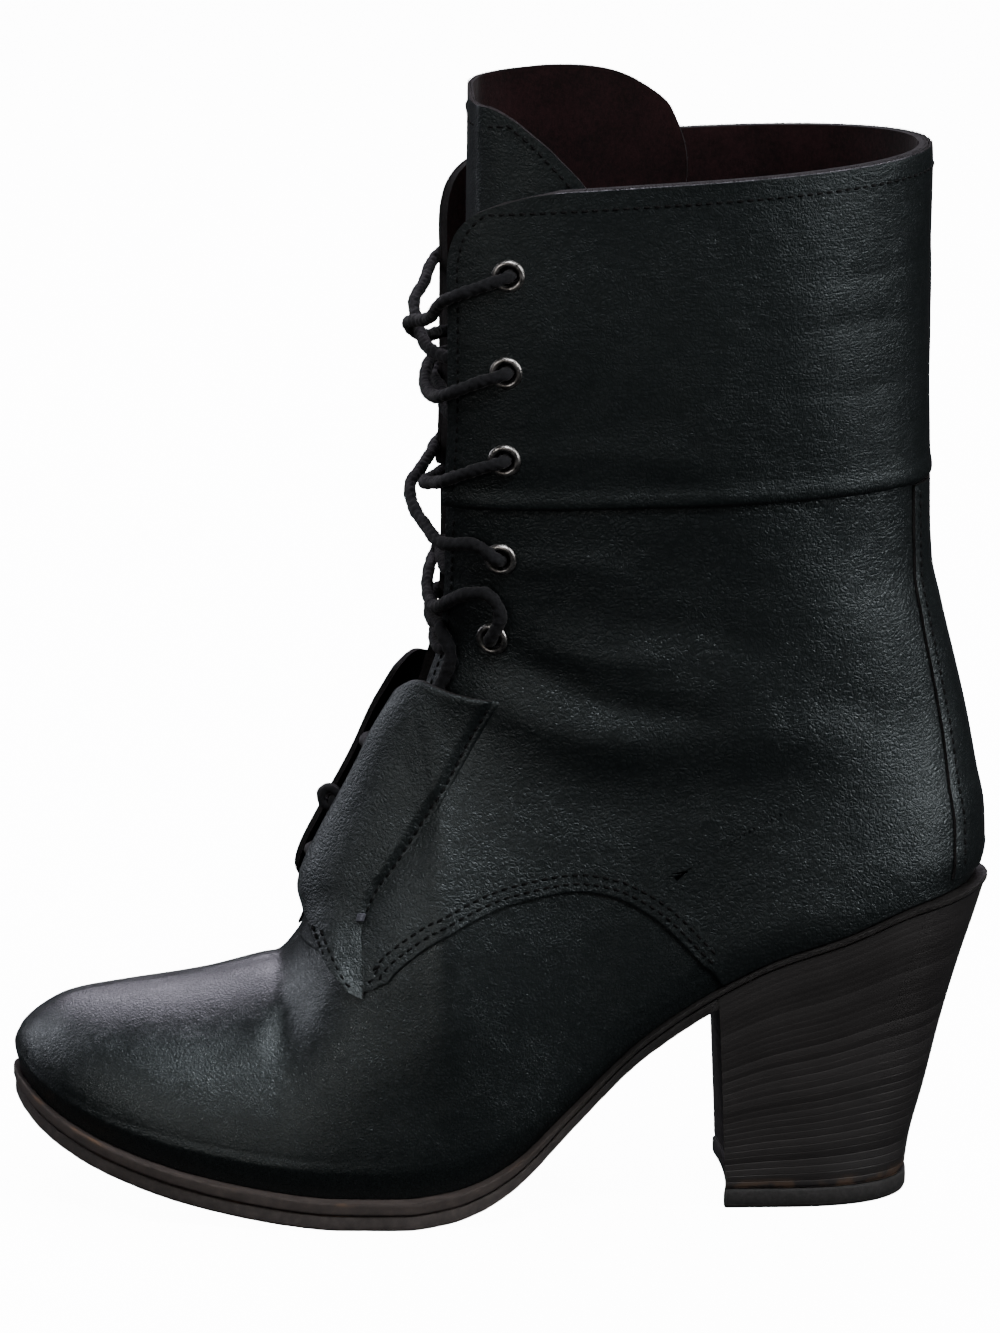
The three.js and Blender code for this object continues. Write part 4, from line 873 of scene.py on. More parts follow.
def heel_finish(name, colour, wear, layers):
    """Stacked leather, dyed and polished: thin layers that fan from the floor to the seat along V."""
    f = Finish(name)
    uv = f.node("TexCoord").outputs["UV"]
    split = f.node("SeparateXYZ", Vector=uv)
    v = split.outputs["Y"]
    wobble = f.noise(f.node("Mapping", Vector=uv, Scale=(30, 8, 1)).outputs[0], 1.0, 3.0)
    level = f.math("ADD", f.math("MULTIPLY", v, layers), f.math("MULTIPLY", wobble, 0.2))
    within = f.math("FRACT", level)
    line = f.math("SUBTRACT", 1.0, f.spread(f.math("ABSOLUTE", f.math("SUBTRACT", within, 0.5)), 0.4, 0.5))
    count = f.node("TexWhiteNoise", {"noise_dimensions": "1D"}, W=f.math("FLOOR", level)).outputs["Value"]
    streaks = f.noise(f.node("Mapping", Vector=uv, Scale=(120, 700, 1)).outputs[0], 1.0, 5.0, 0.7)
    cloud = f.noise(f.coordinates(), 48.0, 3.0)
    pale = tuple(c * 2.0 for c in colour)
    shade = f.spread(f.sum((count, 0.15), (streaks, 0.45), (cloud, 0.4)), 0.3, 0.75)
    ground = f.blend(shade, colour, pale)
    foot = f.spread(v, 0.05, 0.005)
    rubbed = f.math("MULTIPLY", foot, f.spread(f.noise(f.coordinates(), 95.0, 3.0), 0.5, 0.62))
    f.set(Base_Color=f.blend(f.math("MULTIPLY", rubbed, 0.3), ground, wear), Specular_IOR_Level=0.45,
          Roughness=f.spread(f.sum((streaks, 0.7), (count, 0.3)), 0.2, 0.8, 0.38, 0.58))
    depth = f.spread(f.sum((cloud, 0.5), (v, -0.3)), -0.05, 0.3, 0.1, 1.0)
    f.bump(f.sum((f.math("MULTIPLY", line, depth), 0.3), (streaks, 0.25)), 0.17 * MM)
    return f.material


def rubber_finish(name, colour):
    """Dull black rubber with fine grit and a little dust."""
    f = Finish(name)
    grit = f.noise(f.coordinates(), 900.0, 5.0, 0.7)
    dust = f.noise(f.coordinates(), 85.0, 3.0)
    pale = tuple(c * 2.4 for c in colour)
    f.set(Base_Color=f.blend(f.spread(f.sum((grit, 0.5), (dust, 0.5)), 0.4, 0.7), colour, pale),
          Roughness=0.78, Specular_IOR_Level=0.3)
    f.bump(grit, 0.12 * MM)
    return f.material


def metal_finish(name, colour):
    """Antique silver with a darker tarnish."""
    f = Finish(name)
    tarnish = f.noise(f.coordinates(), 520.0, 4.0, 0.6)
    brush = f.noise(f.coordinates((1, 1, 6)), 900.0, 2.0)
    dark = tuple(c * 0.3 for c in colour)
    f.set(Base_Color=f.blend(f.spread(tarnish, 0.36, 0.62), dark, colour), Metallic=1.0,
          Roughness=f.spread(brush, 0.2, 0.8, 0.24, 0.44))
    f.bump(tarnish, 0.05 * MM)
    return f.material


def thread_finish(name, colour, pale_by, scale, fluffy):
    """Twisted or braided thread with a few paler fibres."""
    f = Finish(name)
    fibres = f.noise(f.coordinates(), scale, 4.0, 0.7)
    fluff = f.noise(f.coordinates(), scale / 8, 3.0, 0.6)
    pale = tuple(c * pale_by for c in colour)
    f.set(Base_Color=f.blend(f.spread(f.sum((fibres, 0.6), (fluff, 0.4)), 0.42, 0.68), colour, pale),
          Roughness=0.85, Specular_IOR_Level=0.15, Sheen_Weight=fluffy, Sheen_Roughness=0.45)
    f.bump(fibres, 0.15 * MM)
    return f.material


def floor_finish(name, colour):
    f = Finish(name)
    haze = f.noise(f.coordinates(), 3.0, 2.0)
    lighter = tuple(min(1.0, c * 1.01) for c in colour)
    f.set(Base_Color=f.blend(haze, colour, lighter), Roughness=0.9, Specular_IOR_Level=0.1,
          Emission_Color=(1.0, 1.0, 1.0, 1.0), Emission_Strength=13.0)
    return f.material


HEEL_LAYERS = 33


def finish_of(name):
    """The material of that name, made once."""
    found = bpy.data.materials.get(name)
    if found:
        return found
    c = bpy.context.scene.boot_colours
    grain = bpy.context.scene.boot_sizes.grain_size
    suede_edge = tuple(0.6 * a + 0.7 * b for a, b in zip(c.suede, c.raw_edge))
    makers = {
        "vamp leather": lambda: leather_finish(name, c.leather, c.leather_worn, grain * 0.9, (0.27, 0.38),
                                               0.12 * MM, 0.5),
        "quarter leather": lambda: leather_finish(name, c.leather, c.leather_worn, grain * 1.1,
                                                  (0.31, 0.42), 0.175 * MM, 0.52),
        "cuff leather": lambda: leather_finish(name, c.leather, c.leather_worn, grain * 0.95, (0.32, 0.43),
                                               0.14 * MM, 0.42),
        "lining suede": lambda: suede_finish(name, c.suede),
        "raw edge": lambda: edge_finish(name, c.raw_edge),
        "suede edge": lambda: edge_finish(name, suede_edge),
        "welt edge": lambda: sole_finish(name, c.welt, c.wear, 0.6),
        "outsole": lambda: sole_finish(name, c.sole, c.wear, 0.97),
        "stacked heel": lambda: heel_finish(name, c.heel, c.wear, HEEL_LAYERS),
        "lift rubber": lambda: rubber_finish(name, c.rubber),
        "antique metal": lambda: metal_finish(name, c.metal),
        "braided lace": lambda: thread_finish(name, c.lace, 2.4, 1500.0, 0.06),
        "black thread": lambda: thread_finish(name, c.thread, 1.6, 3000.0, 0.0),
        "pale thread": lambda: thread_finish(name, tuple(16 * k for k in c.lace), 1.6, 3000.0, 0.0),
        "lace fuzz": lambda: thread_finish(name, tuple(2.2 * k for k in c.lace), 1.8, 1500.0, 0.0),
        "edge fuzz": lambda: thread_finish(name, c.raw_edge, 1.6, 900.0, 0.0),
        "floor": lambda: floor_finish(name, c.floor),
    }
    return makers[name]()


# Laces

def smooth_path(points, step):
    """Even steps along a centripetal curve through points."""
    p = np.asarray(points, float)
    p = np.concatenate([[2 * p[0] - p[1]], p, [2 * p[-1] - p[-2]]])
    pieces = []
    for a, b, c, d in zip(p[:-3], p[1:-2], p[2:-1], p[3:]):
        t = np.cumsum([0] + [max(np.linalg.norm(v), 1e-9) ** 0.5 for v in (b - a, c - b, d - c)])
        s = np.linspace(t[1], t[2], 24, endpoint=False)[:, None]
        one = (t[1] - s) / (t[1] - t[0]) * a + (s - t[0]) / (t[1] - t[0]) * b
        two = (t[2] - s) / (t[2] - t[1]) * b + (s - t[1]) / (t[2] - t[1]) * c
        three = (t[3] - s) / (t[3] - t[2]) * c + (s - t[2]) / (t[3] - t[2]) * d
        left = (t[2] - s) / (t[2] - t[0]) * one + (s - t[0]) / (t[2] - t[0]) * two
        right = (t[3] - s) / (t[3] - t[1]) * two + (s - t[1]) / (t[3] - t[1]) * three
        pieces.append((t[2] - s) / (t[2] - t[1]) * left + (s - t[1]) / (t[2] - t[1]) * right)
    fine = np.concatenate(pieces + [p[-2:-1]])
    reached = run_along(fine)
    count = max(2, int(round(reached[-1] / step)))
    even = np.linspace(0, reached[-1], count + 1)
    return np.stack([np.interp(even, reached, fine[:, k]) for k in range(3)], 1), even


def path_frames(path):
    """Unit directions along a path and two across it that don't twist."""
    run = unit(np.gradient(path, axis=0))
    side = np.zeros_like(path)
    start = np.cross(run[0], (0, 0, 1))
    side[0] = start / np.linalg.norm(start) if np.linalg.norm(start) > 1e-3 else np.array((1.0, 0, 0))
    for i in range(1, len(path)):
        v = side[i - 1] - run[i] * (side[i - 1] @ run[i])
        side[i] = v / np.linalg.norm(v)
    return run, side, np.cross(run, side)


BRAID_PITCH = 2.3 * MM
BRAID_DEPTH = 0.09
LACE_FLATNESS = 0.9
TUBE_SIDES = 18
TUBE_STEP = 0.42 * MM


def braided_tube(points, radius, pinch=0.0):
    """Vertices and faces of a braided cord along points; its ends are drawn in by the pinch."""
    path, reached = smooth_path(points, TUBE_STEP)
    _, side, rise = path_frames(path)
    angle = np.linspace(0, FULL, TUBE_SIDES, endpoint=False)[None, :]
    phase = (FULL / BRAID_PITCH) * reached[:, None]
    weave = np.maximum(np.cos(4 * angle + phase), np.cos(4 * angle - phase))
    uneven = 1 + 0.05 * np.sin(reached * 900 + points[0][0] * 5000) + 0.04 * np.sin(reached * 2300)
    size = radius * uneven[:, None] * (1 + BRAID_DEPTH * (weave - 0.6))
    ends = np.minimum(reached, reached[-1] - reached)[:, None]
    size = size * (1 - pinch * np.clip(1 - ends / radius, 0, 1) ** 2)
    ring = (path[:, None] + (size * np.cos(angle))[..., None] * side[:, None]
            + (size * np.sin(angle) * LACE_FLATNESS)[..., None] * rise[:, None])
    rows = len(path)
    quads = ring_faces(rows, TUBE_SIDES)
    first = list(range(TUBE_SIDES))[::-1]
    last_ring = [(rows - 1) * TUBE_SIDES + n for n in range(TUBE_SIDES)]
    return ring.reshape(-1, 3), quads + [first, last_ring], path


def join(parts):
    """One list of points and faces from several."""
    points, faces, base = [], [], 0
    for part in parts:
        points.append(part[0])
        faces += [[n + base for n in face] for face in part[1]]
        base += len(part[0])
    return np.concatenate(points), faces


# Eyelets: length share, height share of the shaft, and whether they go through the cuff
EYELETS = ((0.504, 0.861, True), (0.502, 0.73, True), (0.501, 0.61, True), (0.497, 0.47, False),
           (0.49, 0.356, False))
EYELET_HOLLOW = 2.95 * MM
EYELET_LIFT = 0.25 * MM


def eyelet_seat(last, number, lateral=True):
    """Where an eyelet sits: its middle on the leather, its axis, and how deep the wall is."""
    at, rise, on_cuff = EYELETS[number]
    turn, up = last.locate(at * last.length, last.seat_z + rise * last.shaft)
    turn = turn if lateral else FULL - turn
    face = last.cuff_outer if on_cuff else last.step
    origin = last.skin(turn, up, face)
    return {"origin": origin, "out": unit(origin - last.raw(turn, up)), "depth": face + last.wall,
            "face": face, "turn": turn, "up": up}


def eyelet_seats(last, numbers):
    """The seats of some eyelets, on both sides."""
    return [eyelet_seat(last, n, lateral) for n in numbers for lateral in (True, False)]


# Strands of the lacing, from an eyelet's inside over its facing, across the front and in again.
# Each row: the kind of place, then for an eyelet its number, side and height over the face; for a place
# on the leather its length share, height share of the shaft, side and lift; for a place in front of the
# throat its length share, its share of the shaft width across, and its height share.
NEAR, FAR = True, False
STRANDS = {
    "lace_crossing_1": (
        (("eye", 0, NEAR, -4.5), ("eye", 0, NEAR, 1.2), ("side", 0.479, 0.847, NEAR, 2.1),
         ("side", 0.449, 0.825, NEAR, 1.9), ("free", 0.426, -0.247, 0.784), ("free", 0.407, -0.052, 0.763),
         ("free", 0.415, 0.104, 0.737), ("free", 0.429, 0.234, 0.720), ("free", 0.443, 0.338, 0.717),
         ("side", 0.458, 0.716, FAR, -3.4), ("side", 0.475, 0.720, FAR, -4.0)),
        (("eye", 0, FAR, -4.5), ("eye", 0, FAR, 1.2), ("side", 0.479, 0.842, FAR, 2.1),
         ("side", 0.449, 0.812, FAR, 1.9), ("free", 0.425, 0.260, 0.790), ("free", 0.414, 0.117, 0.777),
         ("free", 0.419, -0.052, 0.747), ("free", 0.430, -0.234, 0.738),
         ("side", 0.447, 0.734, NEAR, -3.4), ("side", 0.472, 0.735, NEAR, -4.0)),
    ),
    "lace_crossing_2": (
        (("eye", 1, NEAR, -4.5), ("eye", 1, NEAR, 1.2), ("side", 0.479, 0.719, NEAR, 2.1),
         ("side", 0.450, 0.697, NEAR, 1.9), ("free", 0.430, -0.208, 0.676), ("free", 0.425, 0.000, 0.669),
         ("free", 0.426, 0.156, 0.677), ("free", 0.437, 0.312, 0.686), ("side", 0.456, 0.690, FAR, -3.4),
         ("side", 0.475, 0.680, FAR, -4.0)),
        (("eye", 1, FAR, -4.5), ("eye", 1, FAR, 1.2), ("side", 0.478, 0.700, FAR, 2.1),
         ("side", 0.449, 0.657, FAR, 1.9), ("free", 0.436, 0.273, 0.657), ("free", 0.441, 0.130, 0.658),
         ("free", 0.442, -0.026, 0.656), ("free", 0.444, -0.169, 0.653),
         ("side", 0.456, 0.650, NEAR, -3.4), ("side", 0.475, 0.645, NEAR, -4.0)),
    ),
    "lace_crossing_3": (
        (("eye", 2, NEAR, -4.5), ("eye", 2, NEAR, 1.2), ("side", 0.479, 0.600, NEAR, 2.1),
         ("side", 0.450, 0.578, NEAR, 1.9), ("free", 0.433, -0.234, 0.560), ("free", 0.423, -0.104, 0.548),
         ("free", 0.426, 0.026, 0.541), ("free", 0.437, 0.156, 0.536), ("free", 0.447, 0.286, 0.532),
         ("side", 0.459, 0.530, FAR, -3.4), ("side", 0.476, 0.520, FAR, -4.0)),
        (("eye", 2, FAR, -4.5), ("eye", 2, FAR, 1.2), ("side", 0.479, 0.592, FAR, 2.1),
         ("side", 0.451, 0.566, FAR, 1.9), ("free", 0.433, 0.299, 0.555), ("free", 0.421, 0.169, 0.544),
         ("free", 0.409, 0.052, 0.532), ("free", 0.411, -0.052, 0.513), ("free", 0.422, -0.169, 0.497),
         ("side", 0.447, 0.487, NEAR, 1.9), ("side", 0.475, 0.492, NEAR, 2.1), ("eye", 3, NEAR, 1.3),
         ("eye", 3, NEAR, -4.5)),
    ),
    "lace_crossing_4": (
        (("eye", 3, FAR, -4.5), ("eye", 3, FAR, 1.2), ("side", 0.475, 0.455, FAR, 2.1),
         ("side", 0.449, 0.430, FAR, 1.9), ("free", 0.436, 0.286, 0.417), ("free", 0.428, 0.130, 0.403),
         ("free", 0.426, 0.000, 0.388), ("free", 0.431, -0.143, 0.382), ("side", 0.446, 0.395, NEAR, 1.9),
         ("side", 0.468, 0.420, NEAR, 2.2), ("side", 0.488, 0.422, NEAR, 2.2),
         ("side", 0.500, 0.395, NEAR, 2.2), ("eye", 4, NEAR, 1.5), ("eye", 4, NEAR, -4.5)),
        (("side", 0.472, 0.455, NEAR, -4.0), ("side", 0.455, 0.447, NEAR, -3.4),
         ("free", 0.447, -0.234, 0.440), ("free", 0.441, -0.078, 0.441), ("free", 0.441, 0.078, 0.440),
         ("free", 0.446, 0.221, 0.439), ("side", 0.456, 0.430, FAR, -3.4),
         ("side", 0.475, 0.420, FAR, -4.0)),
    ),
    "lace_crossing_5": (
        (("side", 0.472, 0.375, FAR, -4.0), ("side", 0.456, 0.375, FAR, -3.4),
         ("free", 0.440, 0.234, 0.374), ("free", 0.430, 0.078, 0.364), ("free", 0.430, -0.065, 0.357),
         ("free", 0.438, -0.195, 0.362), ("side", 0.447, 0.360, NEAR, 1.9),
         ("side", 0.455, 0.328, NEAR, 1.9), ("side", 0.449, 0.295, NEAR, 1.8),
         ("side", 0.437, 0.262, NEAR, 1.7)),
        (("side", 0.472, 0.345, NEAR, -4.0), ("side", 0.455, 0.335, NEAR, -3.4),
         ("free", 0.443, -0.221, 0.331), ("free", 0.434, -0.078, 0.327), ("free", 0.435, 0.091, 0.328),
         ("free", 0.440, 0.221, 0.332), ("side", 0.447, 0.326, FAR, 1.9), ("side", 0.447, 0.297, FAR, 1.8),
         ("side", 0.437, 0.262, FAR, 1.7)),
    ),
}
BARS = (("lace_bar_1", 0.17), ("lace_bar_2", 0.02))
BAR_ARCH = ((10.5, 2.8), (7, 3.6), (3.5, 5), (0, 5.4))
KNOT_RISE = 0.09
TIE_RADIUS = 1.28 * MM
TIE_ROWS = ((2, 5.6, 0.002), (4.2, 3, 0.02), (7.3, 2.5, 0.037), (10.5, 2.5, 0.034), (13, 2.5, 0.018))
KNOT_LIFT = 6.9 * MM
# The knot is two turns of cord: where each lies across the boot and how far it tilts, in millimetres
KNOT_WRAPS = ((-1.5, 0.5), (1.2, -0.4))
KNOT_RADIUS = 2.1
KNOT_CORD = 1.15 * MM


def strand_point(last, row):
    """The point that a row of STRANDS stands for."""
    kind = row[0]
    if kind == "eye":
        seat = eyelet_seat(last, row[1], row[2])
        return seat["origin"] + seat["out"] * row[3] * MM
    if kind == "free":
        return np.array((row[1] * last.length, row[2] * last.width, last.seat_z + row[3] * last.shaft))
    height = last.seat_z + row[2] * last.shaft
    layered = row[4] > 0 and height > last.raw(math.pi / 2, CUFF_LINE)[2]
    face = last.cuff_outer if layered else (last.step if row[4] > 0 else 0)
    return last.side_point(row[1] * last.length, height, face + row[4] * MM, row[3])


def make_laces(last, radius):
    """The braided strands of the crossings and the two bars that the flaps half hide."""
    for name, strands in STRANDS.items():
        tubes = [braided_tube([strand_point(last, row) for row in strand], radius) for strand in strands]
        points, faces = join(tubes)
        piece = add_mesh(name.replace("crossing", "strands"), points, faces, [finish_of("braided lace")],
                         sharp=TUBE_SHARP)
        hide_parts(name)
    for name, rise in BARS:
        height = last.seat_z + rise * last.shaft
        half = [last.front_point(-y * MM, height, lift * MM) for y, lift in BAR_ARCH]
        other = [last.front_point(y * MM, height, lift * MM) for y, lift in BAR_ARCH[:-1]]
        tube = braided_tube(half + other[::-1], radius * 0.95)
        piece = add_mesh(name.replace("bar", "rung"), tube[0], tube[1], [finish_of("braided lace")],
                         sharp=TUBE_SHARP)
        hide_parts(name)


def make_tie(last):
    """The free end piece between the flaps and its knot, as two meshes: a braided tie and two wraps."""
    sides = []
    for sign in (-1, 1):
        sides.append([last.front_point(sign * y * MM, last.seat_z + (KNOT_RISE - drop) * last.shaft,
                                       lift * MM) for y, lift, drop in TIE_ROWS])
    points = sides[0][::-1] + sides[1]
    verts, faces, path = braided_tube(points, TIE_RADIUS, pinch=0.4)
    centre = last.front_point(0.0, last.seat_z + KNOT_RISE * last.shaft, KNOT_LIFT)
    wraps = []
    for shift, tilt in KNOT_WRAPS:
        turns = np.linspace(0, FULL * 1.04, 15)
        ring = [centre + np.array((math.cos(t) * KNOT_RADIUS, shift + tilt * math.sin(t),
                                   math.sin(t) * KNOT_RADIUS)) * MM for t in turns]
        wraps.append(braided_tube(ring, KNOT_CORD, pinch=0.5))
    knot_points, knot_faces = join(wraps)
    knot = add_mesh("lace_knot_wraps", knot_points, knot_faces, [finish_of("braided lace")], sharp=TUBE_SHARP)
    cord = add_mesh("lace_tie_cord", verts, faces, [finish_of("braided lace")], sharp=TUBE_SHARP)
    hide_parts("lace_tie")
    route = path + (TOE_X, MIDDLE_Y, 0)
    length = float(np.linalg.norm(np.diff(route, axis=0), axis=1).sum())


# Fuzz: loose fibres that stand off the laces and the raw edges

FIBRE_WIDE = 0.055 * MM
FIBRE_SIDES = 3
FIBRE_ROOT = 0.1 * MM
FIBRE_LEAN = 0.75
FIBRE_BEND = 0.4
FIBRE_SHARES = (0.35, 1.0)
LACE_FUZZ_LONG = 0.9 * MM
EDGE_FUZZ_LONG = 0.75 * MM
# Fibres for each step of a strand's route, and for each millimetre of a raw edge
LACE_FIBRES = 2.6
EDGE_FIBRES = 4.5
LACE_SEEDS = (5, 6)
EDGE_SEEDS = (8, 9)


def make_fibres(name, roots, ways, long, finish, seed):
    """Fine closed spikes at the roots, each leaning its own way, as one mesh."""
    chance = np.random.default_rng(seed)
    count = len(roots)
    lean = chance.normal(size=(count, 3))
    lean = lean - (lean * ways).sum(1, keepdims=True) * ways
    way = unit(ways + FIBRE_LEAN * lean)
    size = long * chance.uniform(*FIBRE_SHARES, count)[:, None]
    side = unit(np.cross(way, chance.normal(size=(count, 3))))
    other = np.cross(way, side)
    angle = np.arange(FIBRE_SIDES) * (FULL / FIBRE_SIDES)
    base = (roots - ways * FIBRE_ROOT)[:, None]
    foot = base + FIBRE_WIDE * (np.cos(angle)[None, :, None] * side[:, None]
                                + np.sin(angle)[None, :, None] * other[:, None])
    bend = unit(way + FIBRE_BEND * chance.normal(size=(count, 3)))
    tip = base[:, 0] + way * size * 0.6 + bend * size * 0.5
    points = np.concatenate([foot, tip[:, None]], axis=1).reshape(-1, 3)
    start = 4 * np.arange(count)[:, None, None]
    faces = (start + np.array([[0, 1, 3], [1, 2, 3], [2, 0, 3], [2, 1, 0]])[None]).reshape(-1, 3)
    return add_mesh(name, points, faces.tolist(), [finish_of(finish)], sharp=TUBE_SHARP)


def fibres_along(path, way, per_mm, chance):
    """Roots and ways of fibres scattered along a line of points."""
    reached = run_along(path)
    at = chance.uniform(0, reached[-1], int(reached[-1] / MM * per_mm))
    roots = points_at(at, reached, path)
    return roots, unit(points_at(at, reached, way))


def make_lace_fuzz(last, radius):
    """Fibres all along the strands, pointing away from each strand's middle."""
    chance = np.random.default_rng(LACE_SEEDS[0])
    roots, ways = [], []
    for strands in STRANDS.values():
        for strand in strands:
            path, _ = smooth_path([strand_point(last, row) for row in strand], TUBE_STEP)
            _, side, rise = path_frames(path)
            pick = chance.integers(4, len(path) - 4, int(len(path) * LACE_FIBRES))
            angle = chance.uniform(0, FULL, len(pick))[:, None]
            way = np.cos(angle) * side[pick] + np.sin(angle) * rise[pick] * LACE_FLATNESS
            roots.append(path[pick] + way * radius * 0.93)
            ways.append(unit(way))
    piece = make_fibres("lace_fuzz", np.concatenate(roots), np.concatenate(ways), LACE_FUZZ_LONG, "lace fuzz",
                        LACE_SEEDS[1])
    return piece


# Leather pieces

OVERLAP_UP = 0.03
OVERLAP_HEIGHT = 6 * MM
WALL_RUN = 1.5 * MM
EDGE_LIP = 0.3 * MM
EDGE_RUN = 0.7 * MM
VAMP_REACH = 2.0
VAMP_COLUMNS = 260
# Creases fade out towards the vamp's hidden top edge
VAMP_CALM_FROM = 0.93
QUARTER_COLUMNS = 252
# The quarter's rows lie closer together below this share of its height
QUARTER_FINE = 0.62
# The quarter's edge is smoothed over more columns the higher a row lies: the least, what is added to it,
# and the share of the height where all of that is added
QUARTER_REACH = (0.4, 9, 0.3)
# The quarter gets extra columns where its edge climbs by more than this share between two neighbours
STEEP_STEP = 0.012
STEEP_PARTS = 4


def make_vamp(last):
    """The vamp, from the sole to just under the quarter."""
    share = np.linspace(0, 1, VAMP_COLUMNS + 1)[:-1]
    turn = share * FULL
    top = envelope(last.quarter_edge(lambda up: turn + 0 * up), VAMP_REACH, closed=True) + OVERLAP_UP
    rows = edge_rows(84, 60 * MM)
    up = rows[:, None] * top[None, :]
    grid_turn = np.broadcast_to(turn, up.shape)
    calm = 1 - ease((rows - VAMP_CALM_FROM) / 0.07)[:, None]
    outer = last.skin(grid_turn, up, -0.02 * MM, calm)
    inner = last.skin(grid_turn, up, -last.wall, calm)
    piece = shell("vamp", outer, inner, [finish_of("vamp leather"), finish_of("lining suede"),
                                         finish_of("raw edge")], closed=True)
    return piece


def make_edge_fuzz(last):
    """Fibres along the raw edges of the collar and of the tongue."""
    chance = np.random.default_rng(EDGE_SEEDS[0])
    share = np.linspace(0.004, 0.996, 700)
    found = []
    for depth in (0.2, 0.9, 1.8):
        up = 0 * share + 1
        top = last.skin(last.open_turn(up, share), up, last.cuff_outer - depth * MM, 1.0)
        found.append(fibres_along(top, np.tile((0.0, 0.0, 1.0), (len(top), 1)), EDGE_FIBRES, chance))
    up = np.concatenate([np.linspace(0.93, TONGUE_TOP, 80), np.linspace(TONGUE_TOP, 0.93, 80)])
    first, end = TONGUE["lateral"](up[:80]), -TONGUE["medial"](up[80:])
    across = np.linspace(first[-1], end[0], 90)
    up = np.concatenate([up[:80], np.full(90, TONGUE_TOP), up[80:]])
    turn = np.concatenate([first, across, end])
    middle = np.mean(tongue_grid(last, np.array([0.98]), np.array([-0.3]), 0.0), axis=0)
    for depth in (0.3, 1.2):
        rim = tongue_grid(last, up, turn, -depth * MM)
        way = unit(np.gradient(rim, axis=0))
        out = unit(rim - middle)
        out = unit(out - (out * way).sum(1, keepdims=True) * way)
        found.append(fibres_along(rim, out, EDGE_FIBRES, chance))
    roots, ways = (np.concatenate(k) for k in zip(*found))
    piece = make_fibres("edge_fuzz", roots, ways, EDGE_FUZZ_LONG, "edge fuzz", EDGE_SEEDS[1])
    return piece


def make_quarter(last):
    """The quarter with its lining, from the seam over the vamp to the collar, pierced for the eyelets."""
    share = np.linspace(0, 1, QUARTER_COLUMNS)
    edge = last.quarter_edge(lambda up: last.open_turn(up + 0 * share, share))
    steep = np.abs(np.diff(edge)) > STEEP_STEP
    parts = np.arange(1, STEEP_PARTS) / STEEP_PARTS
    extra = [mix(a, b, parts) for a, b in zip(share[:-1][steep], share[1:][steep])]
    share = np.sort(np.concatenate([share, *extra]))
    edge = last.quarter_edge(lambda up: last.open_turn(up + 0 * share, share))
    fine = edge_rows(96, 110 * MM)
    rows = np.concatenate([fine * QUARTER_FINE, QUARTER_FINE + np.linspace(0, 1, 34)[1:] * 0.38])
    least, added, full = QUARTER_REACH
    bottom = np.array([envelope(edge, least + added * ease(row / full)) if row > 0.02 else edge
                       for row in rows])
    up = np.maximum.accumulate(mix(bottom, 1.0, rows[:, None]), axis=0)
    turn = last.open_turn(up, np.broadcast_to(share, up.shape))
    surface = last.raw(turn, up)
    climbed = np.concatenate([np.zeros((1, len(share))),
                              np.cumsum(np.linalg.norm(np.diff(surface, axis=0), axis=-1), axis=0)])
    offset = last.step - lip(climbed, EDGE_LIP, EDGE_RUN)
    lined = ease((climbed - OVERLAP_HEIGHT) / WALL_RUN)
    grounded = (edge <= 0.001)[None, :]
    inside = mix(0.06 * MM, -last.wall, np.where(grounded, 1.0, lined))
    outer = last.skin(turn, up, offset, 1.0)
    inner = last.skin(turn, up, inside, 1.0)
    keep = pierce(eyelet_seats(last, range(5)), outer, inner, EYELET_HOLLOW, 8 * MM)
    piece = shell("quarter", outer, inner, [finish_of("quarter leather"), finish_of("lining suede"),
                                            finish_of("raw edge")], keep=keep)
    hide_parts("upper")
    return piece


def make_cuff(last):
    """The cuff: a second layer from the cuff line to the collar."""
    share = np.linspace(0, 1, 300)
    rows = edge_rows(76, 80 * MM)
    up = mix(CUFF_LINE, 1.0, rows)[:, None] + 0 * share[None, :]
    turn = last.open_turn(up, np.broadcast_to(share, up.shape))
    surface = last.raw(turn, up)
    steps = np.linalg.norm(np.diff(surface, axis=0), axis=-1)
    climbed = np.concatenate([np.zeros((1, len(share))), np.cumsum(steps, axis=0)])
    from_top = climbed[-1:] - climbed
    drop = lip(climbed, 0.55 * MM, 1.2 * MM) + lip(from_top, EDGE_LIP, EDGE_RUN)
    bulge = 0.5 * MM * np.exp(-((climbed - 2.2 * MM) / (2.5 * MM)) ** 2)
    outer = last.skin(turn, up, last.cuff_outer - drop + bulge, 1.0)
    inner = last.skin(turn, up, last.cuff_inner - 0.1 * MM, 1.0)
    keep = pierce(eyelet_seats(last, range(3)), outer, inner, EYELET_HOLLOW, 8 * MM)
    piece = shell("cuff_leather", outer, inner, [finish_of("cuff leather"), finish_of("lining suede"),
                                                 finish_of("raw edge")], keep=keep)
    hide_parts("cuff")
    return piece


STRIP_TOP = CUFF_LINE - 0.003
STRIP_WALL = 1.2 * MM
STRIP_TURN = 0.3646


def make_back_strip(last):
    """The strip up the back seam, from the heel seat to the cuff."""
    share = np.linspace(-1, 1, 31)
    rows = edge_rows(90, 100 * MM)
    up = mix(0.03, STRIP_TOP, rows)[:, None] + 0 * share[None, :]
    turn = math.pi + share[None, :] * STRIP_TURN + 0 * up
    across = (1 - np.abs(share)) * 13 * MM
    drop = lip(across, EDGE_LIP, EDGE_RUN)[None, :]
    low = last.cuff_inner - 0.2 * MM
    outer = last.skin(turn, up, last.cuff_inner + STRIP_WALL - last.gap - drop, 1.0)
    inner = last.skin(turn, up, low, 1.0)
    piece = shell("back_strip_leather", outer, inner, [finish_of("quarter leather"), finish_of("raw edge"),
                                                       finish_of("raw edge")])
    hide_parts("back_strip")
    return piece


